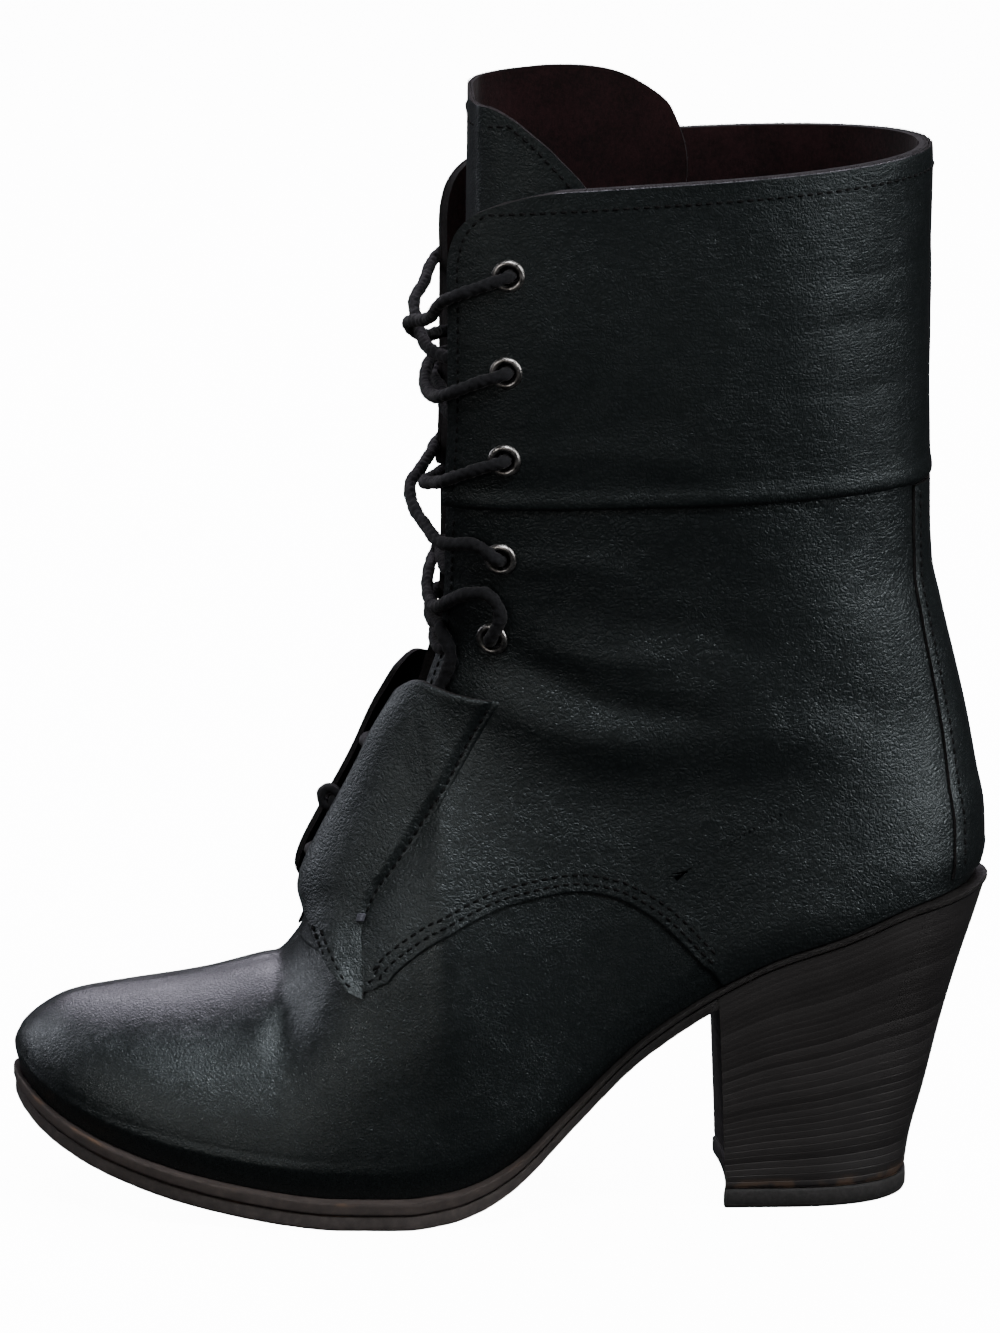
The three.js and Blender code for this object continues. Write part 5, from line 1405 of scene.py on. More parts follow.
# Tongue against the level: how far it is drawn in, and how far each side reaches round as a turn
TONGUE = columns(("up", "draw", "lateral", "medial"), (
    (0.335, 1, 0.5, 0.5), (0.39, 0.99, 0.62, 0.62), (0.48, 0.955, 0.8, 0.85), (0.56, 0.91, 0.95, 1.05),
    (0.64, 0.86, 1.05, 1.2), (0.76, 0.81, 1.15, 1.4), (0.9, 0.77, 1.24, 1.68), (0.98, 0.755, 1.24, 1.8),
    (1.02, 0.745, 1.02, 1.72), (1.04, 0.741, 0.82, 1.56), (1.05, 0.738, 0.68, 1.43),
    (1.056, 0.737, 0.55, 1.28), (1.059, 0.736, 0.42, 1.12), (1.06, 0.735, 0.3, 1.0),
))
TONGUE_AXIS = 0.588
TONGUE_GAP = 0.8 * MM
TONGUE_WALL = 1.8 * MM
TONGUE_TOP = 1.06
TONGUE_FOLDS = ((0.35, 0.09, 0.9), (-0.2, 0.12, -0.7), (-0.75, 0.14, 0.8), (-1.2, 0.12, -0.6),
                (0.75, 0.1, -0.7))


def tongue_grid(last, up, turn, offset):
    point = last.skin(turn % FULL, up, -last.wall - TONGUE_GAP + offset)
    draw = TONGUE["draw"](up)
    point[..., 0] = mix(TONGUE_AXIS * last.length, point[..., 0], draw)
    point[..., 1] *= draw
    return point


def make_tongue(last):
    """The wide leaf inside the throat, with its folds and its raw edge."""
    share = np.linspace(0, 1, 101)
    rows = edge_rows(104, 220 * MM)
    rows = np.sort(np.concatenate([rows, np.linspace(0.945, 0.999, 16)]))
    up = mix(0.335, TONGUE_TOP, rows)[:, None] + 0 * share[None, :]
    turn = mix(-TONGUE["medial"](up), TONGUE["lateral"](up), share[None, :])
    free = ease((up - 0.62) / 0.25)
    fold = sum(depth * MM * np.exp(-((turn - at) / width) ** 2) for at, width, depth in TONGUE_FOLDS) * free
    outer = tongue_grid(last, up, turn, fold)
    inner = tongue_grid(last, up, turn, fold - TONGUE_WALL)
    piece = shell("tongue_leather", outer, inner, [finish_of("cuff leather"), finish_of("lining suede"),
                                                   finish_of("suede edge")])
    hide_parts("tongue")
    return piece


# Flaps from foot to top: rear edge (length share, height share), free edge (height share, gap share)
# and lift in millimetres
FLAP = columns(("row", "at", "rise", "free_rise", "free_gap", "lift"), (
    (0, 0.357, -0.128, -0.122, 0.43, 0.3), (1, 0.358, -0.09, -0.092, 0.355, 1.2),
    (2, 0.361, -0.05, -0.062, 0.265, 2.6), (3, 0.369, -0.017, -0.038, 0.18, 4.1),
    (4, 0.381, 0.012, -0.016, 0.128, 5.2), (5, 0.398, 0.04, 0.024, 0.112, 6),
    (6, 0.426, 0.096, 0.084, 0.108, 6.5), (7, 0.453, 0.155, 0.162, 0.108, 6.6),
    (8, 0.478, 0.216, 0.235, 0.11, 6.2), (9, 0.502, 0.268, 0.292, 0.117, 5.2),
))
FLAP_ROWS = 9
FLAP_HEIGHT = 80 * MM
FLAP_WIDTH = 26 * MM
FLAP_WALL = 1.4 * MM
FLAP_SEAM = 0.085
FLAP_ROUND = 0.75


def flap_skin(last, row, v, lateral, raise_by):
    """Points of a flap, row from foot to top and v from the stitched edge to the free edge."""
    row = row - FLAP_ROUND * np.clip((v - 0.7) / 0.3, 0, 1) ** 2.2 * ease((row - 6.5) / 2.5)
    rear_z = last.seat_z + FLAP["rise"](row) * last.shaft
    rear_turn, rear_up = last.locate(FLAP["at"](row) * last.length, rear_z)
    free_up = last.front_up(last.seat_z + FLAP["free_rise"](row) * last.shaft)
    free_turn = last.spread_turn(free_up, FLAP["free_gap"](row) * last.width)
    turn, up = mix(rear_turn, free_turn, v), mix(rear_up, free_up, v)
    lift = last.step + last.gap + FLAP["lift"](row) * MM * ease(v) + raise_by
    return last.skin(turn if lateral else FULL - turn, up, lift, 0.6)


def flap_thickness(row, v):
    """Share of the flap's wall: none at its sewn edge, a valley at the seam, whole towards the free edge."""
    upper = ease((row - 2.2) / 2.5)
    sewn = mix(ease(v / 0.7), mix(0.42, 0.7, ease((row - 7) / 1.5)) * ease(v / 0.045), upper)
    swell = ease((v - FLAP_SEAM) / 0.075)
    return mix(sewn, 1.0, swell * upper) - 0.14 * upper * np.exp(-((v - FLAP_SEAM) / 0.022) ** 2)


def make_flap(last, lateral):
    """A leaf over the lower lacing, sewn at its rear and loose at the front."""
    v = np.concatenate([np.linspace(0, 0.17, 24), np.linspace(0.17, 1, 50)[1:]])[None, :]
    row = (edge_rows(84, FLAP_HEIGHT) * FLAP_ROWS)[:, None]
    row, v = np.broadcast_arrays(row, v)
    ends = np.minimum(row + 0.6, FLAP_ROWS - row) / FLAP_ROWS * FLAP_HEIGHT
    rim = np.minimum((1 - v) * FLAP_WIDTH, ends)
    drop = lip(rim, 0.35 * MM, 0.9 * MM)
    curl = 0.5 * MM * np.sin(row * 1.7 + 0.6) * ease((v - 0.4) / 0.6)
    tuck = -1.3 * MM * ease(1 - v / 0.2) * mix(0.3, 1.0, ease((row - 1.2) / 1.2))
    whole = FLAP_WALL * flap_thickness(row, v)
    outer = flap_skin(last, row, v, lateral, whole - drop + curl + tuck * 0.65)
    inner = flap_skin(last, row, v, lateral, curl - 0.25 * MM + tuck)
    if lateral:
        outer, inner = outer[:, ::-1], inner[:, ::-1]
    side = "lateral" if lateral else "medial"
    piece = shell(f"flap_leather_{side}", outer, inner,
                  [finish_of("quarter leather"), finish_of("quarter leather"), finish_of("raw edge")])
    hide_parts(f"flap_{side}")
    return piece


# Stitches

STITCH_SIDES = 6
STITCH_RINGS = ((-1.0, 0.35), (-0.7, 0.9), (0.0, 1.0), (0.7, 0.9), (1.0, 0.35))
STITCH_GAP = 0.78
COLLAR_SEAM = 0.0145
FACING_SEAM = 0.014
QUARTER_SEAMS = (2.2 * MM, 4.4 * MM)
QUARTER_SEAM_SPAN = (0.362, 0.716)
TONGUE_SEAM = 0.085
# Rows on a flap: where they begin and end from foot to top, and how far from its sewn edge there
FLAP_SEAMS = ((2.9, 8.8, FLAP_SEAM, FLAP_SEAM), (0.15, 2.3, 0.86, 0.87), (0.15, 2.2, 0.62, 0.72))
TACK_ROWS = (2.62, 2.86)
TACK_SPAN = (0.05, 0.2)
TACK_LIFT = 0.75 * MM


def stitch_row(points, outward, sizes):
    """Vertices and faces of stitches laid end to end along points, half sunk in the leather."""
    reached = run_along(points)
    count = max(1, int(reached[-1] / sizes.stitch_length))
    at = (np.arange(count) + 0.5) * (reached[-1] / count)
    centre = points_at(at, reached, points)
    up = unit(points_at(at, reached, outward))
    ahead = np.stack([np.interp(at + 0.5 * MM, reached, points[:, k])
                      - np.interp(at - 0.5 * MM, reached, points[:, k]) for k in range(3)], 1)
    run = unit(ahead)
    side = unit(np.cross(up, run))
    half = reached[-1] / count / 2 * STITCH_GAP
    angle = np.linspace(0, FULL, STITCH_SIDES, endpoint=False)
    rings = []
    for place, size in STITCH_RINGS:
        sunk = -0.42 * MM * place ** 4
        ring = (centre[:, None] + run[:, None] * (place * half)
                + side[:, None] * (np.cos(angle) * size * sizes.stitch_radius)[None, :, None]
                + up[:, None] * (np.sin(angle) * size * sizes.stitch_radius + sunk)[None, :, None])
        rings.append(ring)
    points_out = np.stack(rings, 1).reshape(-1, 3)
    per = len(STITCH_RINGS) * STITCH_SIDES
    one = ring_faces(len(STITCH_RINGS), STITCH_SIDES)
    one += [list(range(STITCH_SIDES))[::-1], list(range(per - STITCH_SIDES, per))]
    faces = [[base + n for n in face] for base in range(0, count * per, per) for face in one]
    return points_out, faces


def seam_on(last, turn, up, offset, creased=1.0):
    """A line on the leather with the way out of it at each point."""
    return last.skin(turn, up, offset, creased), last.out(turn, up)


def seam_lines(last):
    """Every row of stitches as points and outward ways."""
    lines = []
    share = np.linspace(0, 1, 420)
    collar_up = 1 - COLLAR_SEAM + 0 * share
    lines.append(seam_on(last, last.open_turn(collar_up, mix(FACING_SEAM, 1 - FACING_SEAM, share)), collar_up,
                         last.cuff_outer))
    for lateral in (True, False):
        up = np.linspace(CUFF_LINE + 0.005, 1 - COLLAR_SEAM, 200)
        edge = last.open_turn(up, 0 * up + FACING_SEAM)
        turn = edge if lateral else FULL - edge
        lines.append(seam_on(last, turn, up, last.cuff_outer))
        up = np.linspace(0.52, CUFF_LINE - 0.01, 120)
        edge = last.open_turn(up, 0 * up + FACING_SEAM)
        lines.append(seam_on(last, edge if lateral else FULL - edge, up, last.step))
    for gap in QUARTER_SEAMS:
        lines += quarter_stitches(last, gap)
    for side in (-1, 1):
        up = np.linspace(0.05, STRIP_TOP - 0.008, 160)
        turn = math.pi + side * (STRIP_TURN - 0.05) + 0 * up
        lines.append(seam_on(last, turn, up, last.cuff_inner + STRIP_WALL - last.gap))
    for lateral in (True, False):
        for first, end, v_first, v_end in FLAP_SEAMS:
            row = np.linspace(first, end, 150)
            v = np.linspace(v_first, v_end, 150)
            tuck = -0.85 * MM * ease(1 - v / 0.2)
            points = flap_skin(last, row, v, lateral, FLAP_WALL * flap_thickness(row, v) + tuck)
            out = unit(points - flap_skin(last, row, v, lateral, -1 * MM))
            lines.append((points, out))
    up = np.concatenate([np.linspace(0.95, 1.036, 30), np.full(60, 1.044), np.linspace(1.036, 0.95, 30)])
    first, end = TONGUE["lateral"](up[:30]) - TONGUE_SEAM, -TONGUE["medial"](up[-30:]) + TONGUE_SEAM
    turn = np.concatenate([first, np.linspace(first[-1] - 0.1, end[0] + 0.1, 60), end])
    line = tongue_grid(last, up, turn, 0.0)
    lines.append((line, unit(line - tongue_grid(last, up, turn, -1 * MM))))
    return lines


def quarter_stitches(last, gap):
    """Rows that follow the quarter's lower edge, at a distance above it, on both sides."""
    found = []
    share = np.linspace(0, 1, 900)
    edge = last.quarter_edge(lambda up: last.open_turn(up + 0 * share, share))
    base = last.raw(last.open_turn(edge, share), edge)
    seen = base[:, [0, 2]]
    run = unit(np.gradient(seen, axis=0))
    forward = np.sign(run[:, :1])
    normal = np.stack([-run[:, 1], run[:, 0]], 1) * forward
    target = seen + normal * gap
    from_x, to_x = (share_of * last.length for share_of in QUARTER_SEAM_SPAN)
    for lateral in (True, False):
        half = (share < 0.5) if lateral else (share > 0.5)
        chosen = half & (edge > 0.004) & (target[:, 0] > from_x) & (target[:, 0] < to_x)
        turn, up = last.locate(target[chosen, 0], target[chosen, 1])
        turn = turn if lateral else FULL - turn
        found.append(seam_on(last, turn, up, last.step))
    return found


def make_stitches(last, sizes):
    """All the sewn seams as one mesh of threads."""
    rows = [stitch_row(points, out, sizes) for points, out in seam_lines(last) if len(points) > 3]
    points, faces = join(rows)
    piece = add_mesh("stitches", points, faces, [finish_of("black thread")], sharp=TUBE_SHARP)
    return piece


def make_bartacks(last, sizes):
    """The short pale tack that ends each flap's seam: a few threads side by side."""
    threads = []
    for lateral in (True, False):
        for row in np.linspace(*TACK_ROWS, 5):
            v = np.linspace(*TACK_SPAN, 8)
            points = flap_skin(last, row + 0 * v, v, lateral, TACK_LIFT)
            out = unit(points - flap_skin(last, row + 0 * v, v, lateral, -1 * MM))
            threads.append(stitch_row(points, out, sizes))
    points, faces = join(threads)
    piece = add_mesh("bartacks", points, faces, [finish_of("pale thread")], sharp=TUBE_SHARP)
    return piece


# Eyelets

EYELET_PROFILE = (
    (2.45, -1.0, "depth"), (2.45, 0.1, "face"), (2.62, 0.62, "face"), (2.95, 0.88, "face"),
    (3.35, 0.9, "face"), (3.75, 0.7, "face"), (4.02, 0.38, "face"), (4.1, 0.08, "face"),
    (3.9, -0.02, "face"), (2.9, -0.02, "face"), (2.85, -0.4, "depth"), (3.5, -0.55, "depth"),
    (3.6, -0.8, "depth"), (3.3, -1.05, "depth"), (2.7, -1.15, "depth"),
)
EYELET_SIDES = 44


def eyelet_ring(seat):
    """Vertices and faces of a turned ring round an eyelet's seat."""
    angle = np.linspace(0, FULL, EYELET_SIDES, endpoint=False)
    side = unit(np.cross(seat["out"], (1.0, 0.2, 0.1)))
    other = np.cross(seat["out"], side)
    rings = []
    for radius, height, base in EYELET_PROFILE:
        level = height * MM + (EYELET_LIFT if base == "face" else -seat["depth"])
        rings.append(seat["origin"] + seat["out"] * level
                     + (np.cos(angle)[:, None] * side + np.sin(angle)[:, None] * other) * radius * MM)
    points = np.concatenate(rings)
    faces = []
    count = len(rings)
    for r in range(count):
        nxt = (r + 1) % count
        for k in range(EYELET_SIDES):
            m = (k + 1) % EYELET_SIDES
            faces.append([r * EYELET_SIDES + k, nxt * EYELET_SIDES + k, nxt * EYELET_SIDES + m,
                          r * EYELET_SIDES + m])
    return points, faces


def make_eyelets(last):
    """The ten metal rings."""
    for number in range(len(EYELETS)):
        for side, lateral in (("lateral", True), ("medial", False)):
            points, faces = eyelet_ring(eyelet_seat(last, number, lateral))
            piece = add_mesh(f"eyelet_ring_{number + 1}_{side}", points, faces, [finish_of("antique metal")],
                             sharp=60)
            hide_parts(f"eyelet_{number + 1}_{side}")


# Sole and heel

BREAST_SHARE = 0.7185
SOLE_COLUMNS = 190
SOLE_ACROSS = 26
# The V of the flat faces of a sole layer, and the angle of its corners in degrees
CAP_V = 0.2
SOLE_SHARP = 50


def loft(name, rings, uv, caps, material):
    """A closed body from rings and a grid for each cap, given with its side and its V."""
    count = rings.shape[1]
    points, faces, base = [rings.reshape(-1, 3)], ring_faces(len(rings), count), rings.size // 3
    for grid, top, v in caps:
        rows, cols = grid.shape[:2]
        points.append(grid.reshape(-1, 3))
        uv = np.concatenate([uv, np.tile((0.0, v), (rows * cols, 1))])
        faces += grid_faces(rows, cols, base, top)
        base += rows * cols
    return add_mesh(name, np.concatenate(points), faces, [finish_of(material)], loops=uv,
                    weld=WELD, sharp=SOLE_SHARP)


def sole_layer(last, name, end_share, inset, low, high, profile, material, roughen):
    """A sole layer: its edge follows a profile of insets and height shares, and flat faces close it."""
    end = float(turn_at(end_share))
    turn = mix(0.0, end, np.linspace(0, 1, SOLE_COLUMNS))
    whole = end_share >= 1
    rings = []
    for extra, share in profile:
        ring_inset = inset + extra * MM
        near, far = (last.outline(turn, side, np.full_like(turn, ring_inset)) for side in (True, False))
        if whole:
            loop = np.concatenate([near, far[::-1][1:-1]])
        else:
            cross = mix(near[-1], far[-1], np.linspace(0, 1, SOLE_ACROSS)[1:-1][:, None])
            loop = np.concatenate([near, cross, far[::-1][:-1]])
        z = mix(low(loop[:, 0]), high(loop[:, 0]), share)
        rings.append(np.concatenate([loop, z[:, None]], 1))
    rings = np.array(rings)
    count = rings.shape[1]
    reached = run_along(rings[0])
    wobble = sum(np.sin(reached * k + k) for k in (310, 730, 1370)) * roughen / 3
    middle = rings.mean(1, keepdims=True)
    out = unit((rings - middle) * (1, 1, 0))
    rings = rings + out * wobble[None, :, None]
    uv = np.concatenate([np.stack([reached, np.full(count, share)], 1) for _, share in profile])
    across = np.linspace(0, 1, SOLE_ACROSS)
    caps = []
    for ring, top in ((rings[0], False), (rings[-1], True)):
        near = ring[:len(turn)]
        if whole:
            far = np.concatenate([ring[:1], ring[len(turn):][::-1], ring[len(turn) - 1:len(turn)]])
        else:
            far = np.concatenate([ring[:1], ring[count - len(turn) + 1:][::-1]])
        flat = mix(near[:, None], far[:, None], across[None, :, None])
        share = profile[-1 if top else 0][1]
        flat[..., 2] = mix(low(flat[..., 0]), high(flat[..., 0]), share)
        caps.append((flat, top, CAP_V))
    return loft(name, rings, uv, caps, material)


OUTSOLE_PROFILE = ((1.5, 0), (0.75, 0.0), (0.35, 0.04), (0.1, 0.13), (0.0, 0.28), (0.02, 0.6), (0.0, 0.84),
                   (0.08, 0.93), (0.25, 0.985), (0.5, 1.0), (1.2, 1.0))
WELT_PROFILE = ((1.2, 0), (0.5, 0.0), (0.2, 0.03), (0.05, 0.1), (0.0, 0.22), (0.03, 0.5), (0.0, 0.78),
                (0.08, 0.9), (0.28, 0.98), (0.6, 1.0), (1.5, 1.0))


def make_sole(last):
    """The outsole and the welt above it."""
    outsole = sole_layer(last, "outsole_leather", BREAST_SHARE, 0.5 * MM, last.underside, last.outsole_top,
                         OUTSOLE_PROFILE, "outsole", 0.12 * MM)
    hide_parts("outsole")
    welt = sole_layer(last, "welt_and_midsole", 1.0, 0.0, last.midsole_bottom, last.midsole_top,
                      WELT_PROFILE, "welt edge", 0.08 * MM)
    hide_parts("midsole")


INSOLE_GAP = 0.55 * MM
INSOLE_REST = 0.2 * MM


def make_insole(last):
    """The suede-covered sheet that lies inside, on the midsole."""
    turn = np.linspace(0, math.pi, 120)
    near = last.skin(turn, 0 * turn, -last.wall - INSOLE_GAP)
    far = last.skin((FULL - turn) % FULL, 0 * turn, -last.wall - INSOLE_GAP)
    across = np.linspace(0, 1, 32)
    flat = mix(near[:, None], far[:, None], across[None, :, None])
    floor = last.feather(flat[..., 0]) + INSOLE_REST
    hollow = -0.5 * MM * np.sin(math.pi * across)[None, :] ** 2
    top, low = flat.copy(), flat.copy()
    top[..., 2] = floor + INSOLE_WALL + hollow * np.sin(turn)[:, None]
    low[..., 2] = floor
    piece = shell("insole_lining", top[:, ::-1], low[:, ::-1], [finish_of("lining suede")] * 3,
                  weld=WELD)
    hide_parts("insole")


HEEL_COLUMNS = 74
HEEL_ACROSS = 36
HEEL_ROWS = 176
HEEL_GROW = Column((0, 0.1, 0.3, 0.52, 0.75, 0.88, 1), (0, 0.055, 0.25, 0.45, 0.7, 0.86, 1))
HEEL_TIP_LENGTH = 46.2 * MM
HEEL_TIP_WIDTH = 50 * MM
HEEL_TIP_SETBACK = 20.3 * MM
HEEL_HOLLOW = 1.6 * MM
HEEL_SQUARE = 2.5
HEEL_BEND_FROM = 0.3
TOP_LIFT = 5 * MM
LIFT_PROUD = 0.4 * MM
HOLLOW_FADE = 4


def heel_hollow(share, across):
    """How far the heel's breast is hollow, most at its middle."""
    return HEEL_HOLLOW * (1 - across * across) * (1 - share) ** HOLLOW_FADE


def heel_tip(last, share, across, proud):
    """Points of the heel's foot: square at the breast, round at the back."""
    bend = np.clip((share - HEEL_BEND_FROM) / (1 - HEEL_BEND_FROM), 0, 1)
    half = (HEEL_TIP_WIDTH / 2 + proud) * (1 - bend ** HEEL_SQUARE) ** (1 / HEEL_SQUARE)
    front = last.length - HEEL_TIP_SETBACK - HEEL_TIP_LENGTH
    x = front - proud + share * (HEEL_TIP_LENGTH + proud * 2) + heel_hollow(share, across)
    return np.stack([x, across * half], -1)


def heel_top(last, share, across):
    """Points of the heel's seat under the sole."""
    turn = turn_at(mix(BREAST_SHARE, 1, share))
    near, far = (last.outline(turn, side, np.full_like(turn, SEAT_MARGIN)) for side in (True, False))
    point = mix(near, far, ((across + 1) / 2)[..., None])
    point[..., 0] += heel_hollow(share, across)
    return point


def heel_points(last, share, across, rise, foot, proud=0.0):
    """Points of the heel at a share of its height."""
    share, across = np.broadcast_arrays(share, across)
    low, high = heel_tip(last, share, across, proud), heel_top(last, share, across)
    grow = HEEL_GROW(rise)
    flat = mix(low, high, grow)
    z = mix(foot, last.outsole_top(high[..., 0]), rise)
    return np.concatenate([flat, z[..., None]], -1)


def heel_loop():
    """Shares and sidings round the heel: back on one side, home on the other, across the front."""
    share = (1 - np.cos(np.linspace(0, math.pi, HEEL_COLUMNS))) / 2
    across = np.linspace(1, -1, HEEL_ACROSS)
    loop_share = np.concatenate([share, share[::-1][1:], np.zeros(len(across) - 2)])
    loop_across = np.concatenate([-np.ones(len(share)), np.ones(len(share) - 1), across[1:-1]])
    return loop_share, loop_across


def make_heel(last):
    """The stacked heel with its grooves, and the rubber lift under it."""
    share, across = heel_loop()
    rises = np.linspace(0, 1, HEEL_ROWS)
    foot = TOP_LIFT + last.gap
    rings = []
    for rise in rises:
        ring = heel_points(last, share, across, rise, foot)
        layer = (rise * HEEL_LAYERS) % 1
        groove = 0.045 * MM * math.exp(-((min(layer, 1 - layer)) / 0.16) ** 2)
        shrink = groove + lip(rise * 70 * MM, 0.3 * MM, 0.7 * MM)
        centre = ring.mean(0)
        out = unit((ring - centre) * (1, 1, 0))
        rings.append(ring - out * shrink)
    rings = np.array(rings)
    reached = run_along(rings[0])
    uv = np.stack([np.tile(reached, len(rises)), np.repeat(rises, len(share))], 1)
    grid_share = (1 - np.cos(np.linspace(0, math.pi, HEEL_COLUMNS)))[:, None] / 2
    grid_across = np.linspace(-1, 1, HEEL_ACROSS)[None, :]
    low = heel_points(last, grid_share, grid_across, 0.0, foot)
    high = heel_points(last, grid_share, grid_across, 1.0, foot)
    heel = loft("heel_stack", rings, uv, ((low, False, 0.0), (high, True, 1.0)), "stacked heel")
    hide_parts("heel")

    profile = ((0.9, 0.0), (0.35, 0.06), (0.05, 0.2), (0.0, 0.5), (0.05, 0.85), (0.35, 0.97), (0.8, 1.0))
    rings = []
    for extra, level in profile:
        flat = heel_tip(last, share, across, LIFT_PROUD - extra * MM)
        rings.append(np.concatenate([flat, np.full((len(flat), 1), level * TOP_LIFT)], 1))
    rings = np.array(rings)
    uv = np.stack([np.tile(reached, len(profile)), np.repeat([p[1] for p in profile], len(share))], 1)
    caps = []
    for extra, level, top in ((profile[0][0], 0.0, False), (profile[-1][0], TOP_LIFT, True)):
        flat = heel_tip(last, *np.broadcast_arrays(grid_share, grid_across), LIFT_PROUD - extra * MM)
        caps.append((np.concatenate([flat, np.full(flat.shape[:2] + (1,), level)], -1), top, float(top)))
    lift = loft("heel_lift_rubber", rings, uv, caps, "lift rubber")
    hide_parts("top_lift")


# Stage

CAMERA_DISTANCE = 2600 * MM
CAMERA_ELEVATION = math.radians(13)
CAMERA_TURN = math.radians(2)
CAMERA_TARGET = Vector((-1.5, -0.35, 135.84)) * MM
IMAGE_LONG = 1333
FOCAL_PIXELS = 10497
TARGET_PIXEL = (494, 655)
IMAGE_CENTRE = (500, 666.5)
SENSOR = 36
FLOOR_RADIUS = 7.0
WALL_HEIGHT = 7.0
COVE = 1.5
FLOOR_SIDES = 96

# Lights: name, kind of place (azimuth and height angle as seen from the boot), distance, size, power, tint
LIGHTS = (
    ("key from the heel side", 64, 24, 1.3, (0.3, 0.8), 13, (1.0, 1.0, 1.0)),
    ("top front softbox", 12, 56, 1.4, (0.9, 0.3), 19, (0.97, 0.98, 1.0)),
    ("high back wall", 178, 46, 1.9, (1.9, 0.9), 41, (1.0, 0.91, 1.06)),
    ("toe side softbox", -42, 15, 1.4, (0.35, 0.25), 2.8, (1.0, 0.96, 0.92)),
    ("low warm card", -20, 8, 1.6, (0.5, 0.2), 1.2, (1.0, 0.9, 0.8)),
    ("toe end rim", -115, 25, 1.4, (0.4, 0.9), 8, (0.93, 0.92, 1.0)),
)
LIGHT_TARGET = Vector((0.0, 0.0, 0.12))
WORLD_COLOUR = (0.8, 0.82, 0.9, 1)
WORLD_STRENGTH = 0.03


def make_camera():
    """The camera of the photo: where it stands, its lens, and where it looks."""
    back = Vector((-math.sin(CAMERA_TURN) * math.cos(CAMERA_ELEVATION),
                   -math.cos(CAMERA_TURN) * math.cos(CAMERA_ELEVATION), math.sin(CAMERA_ELEVATION)))
    data = bpy.data.cameras.new("camera")
    data.sensor_width = SENSOR
    data.lens = FOCAL_PIXELS / IMAGE_LONG * SENSOR
    data.clip_start, data.clip_end = 0.1, 60
    camera = bpy.data.objects.new("camera", data)
    bpy.context.scene.collection.objects.link(camera)
    camera.location = CAMERA_TARGET + back * CAMERA_DISTANCE
    right = back.cross(Vector((0, 0, 1))).normalized() * -1
    rise = right.cross(-back).normalized()
    per_pixel = CAMERA_DISTANCE / FOCAL_PIXELS
    aim = CAMERA_TARGET + right * ((IMAGE_CENTRE[0] - TARGET_PIXEL[0]) * per_pixel) \
        - rise * ((IMAGE_CENTRE[1] - TARGET_PIXEL[1]) * per_pixel)
    camera.rotation_mode = "QUATERNION"
    camera.rotation_quaternion = (aim - camera.location).to_track_quat("-Z", "Y")
    bpy.context.scene.camera = camera


def make_lights():
    """Softboxes round the boot and a dim grey room."""
    for name, azimuth, height, distance, size, power, tint in LIGHTS:
        a, e = math.radians(azimuth), math.radians(height)
        way = Vector((math.sin(a) * math.cos(e), -math.cos(a) * math.cos(e), math.sin(e)))
        data = bpy.data.lights.new(name, "AREA")
        data.shape = "RECTANGLE"
        data.size, data.size_y = size
        data.energy, data.color = power, tint
        lamp = bpy.data.objects.new(name, data)
        bpy.context.scene.collection.objects.link(lamp)
        lamp.location = LIGHT_TARGET + way * distance
        lamp.rotation_mode = "QUATERNION"
        lamp.rotation_quaternion = (-way).to_track_quat("-Z", "Y")
        lamp.visible_camera = False
    world = bpy.data.worlds.new("studio")
    bpy.context.scene.world = world
    world.use_nodes = True
    background = world.node_tree.nodes["Background"]
    background.inputs["Color"].default_value = WORLD_COLOUR
    background.inputs["Strength"].default_value = WORLD_STRENGTH


def make_floor():
    """A round pale floor that curves up into a wall, seen by the camera but not mirrored in the leather."""
    bend = np.linspace(0, math.pi / 2, 14)
    radius = np.concatenate([[0.6, 2, 4], FLOOR_RADIUS + COVE * np.sin(bend), [FLOOR_RADIUS + COVE]])
    height = np.concatenate([[0, 0, 0], COVE * (1 - np.cos(bend)), [WALL_HEIGHT]])
    angle = np.linspace(0, FULL, FLOOR_SIDES, endpoint=False)
    rings = np.stack([radius[:, None] * np.cos(angle), radius[:, None] * np.sin(angle),
                      np.repeat(height[:, None], len(angle), 1)], -1)
    points = rings.reshape(-1, 3).tolist() + [[0, 0, 0]]
    faces = []
    for r in range(len(radius) - 1):
        for k in range(len(angle)):
            m = (k + 1) % len(angle)
            near, far = r * FLOOR_SIDES, (r + 1) * FLOOR_SIDES
            faces.append([near + k, far + k, far + m, near + m])
    for k in range(len(angle)):
        faces.append([len(points) - 1, k, (k + 1) % len(angle)])
    mesh = bpy.data.meshes.new("floor")
    mesh.from_pydata(points, [], faces)
    mesh.materials.append(finish_of("floor"))
    mesh.polygons.foreach_set("use_smooth", np.ones(len(mesh.polygons), bool))
    floor = bpy.data.objects.new("floor", mesh)
    bpy.context.scene.collection.objects.link(floor)
    floor.visible_glossy = False
    floor.visible_diffuse = False


# Operators

class BOOT_OT_camera(bpy.types.Operator):
    """Puts the camera at the boot's viewing angle"""

    bl_idname = "boot.camera"
    bl_label = "Camera"

    def execute(self, context):
        make_camera()
        return {"FINISHED"}


class BOOT_OT_laces(bpy.types.Operator):
    """Runs the lace through the eyelets and across the throat"""

    bl_idname = "boot.laces"
    bl_label = "Laces"

    def execute(self, context):
        make_laces(last_of(context), context.scene.boot_sizes.lace_radius)
        return {"FINISHED"}


class BOOT_OT_tie(bpy.types.Operator):
    """Lays the free tie with its knot between the flaps"""

    bl_idname = "boot.tie"
    bl_label = "Tie and knot"

    def execute(self, context):
        make_tie(last_of(context))
        return {"FINISHED"}


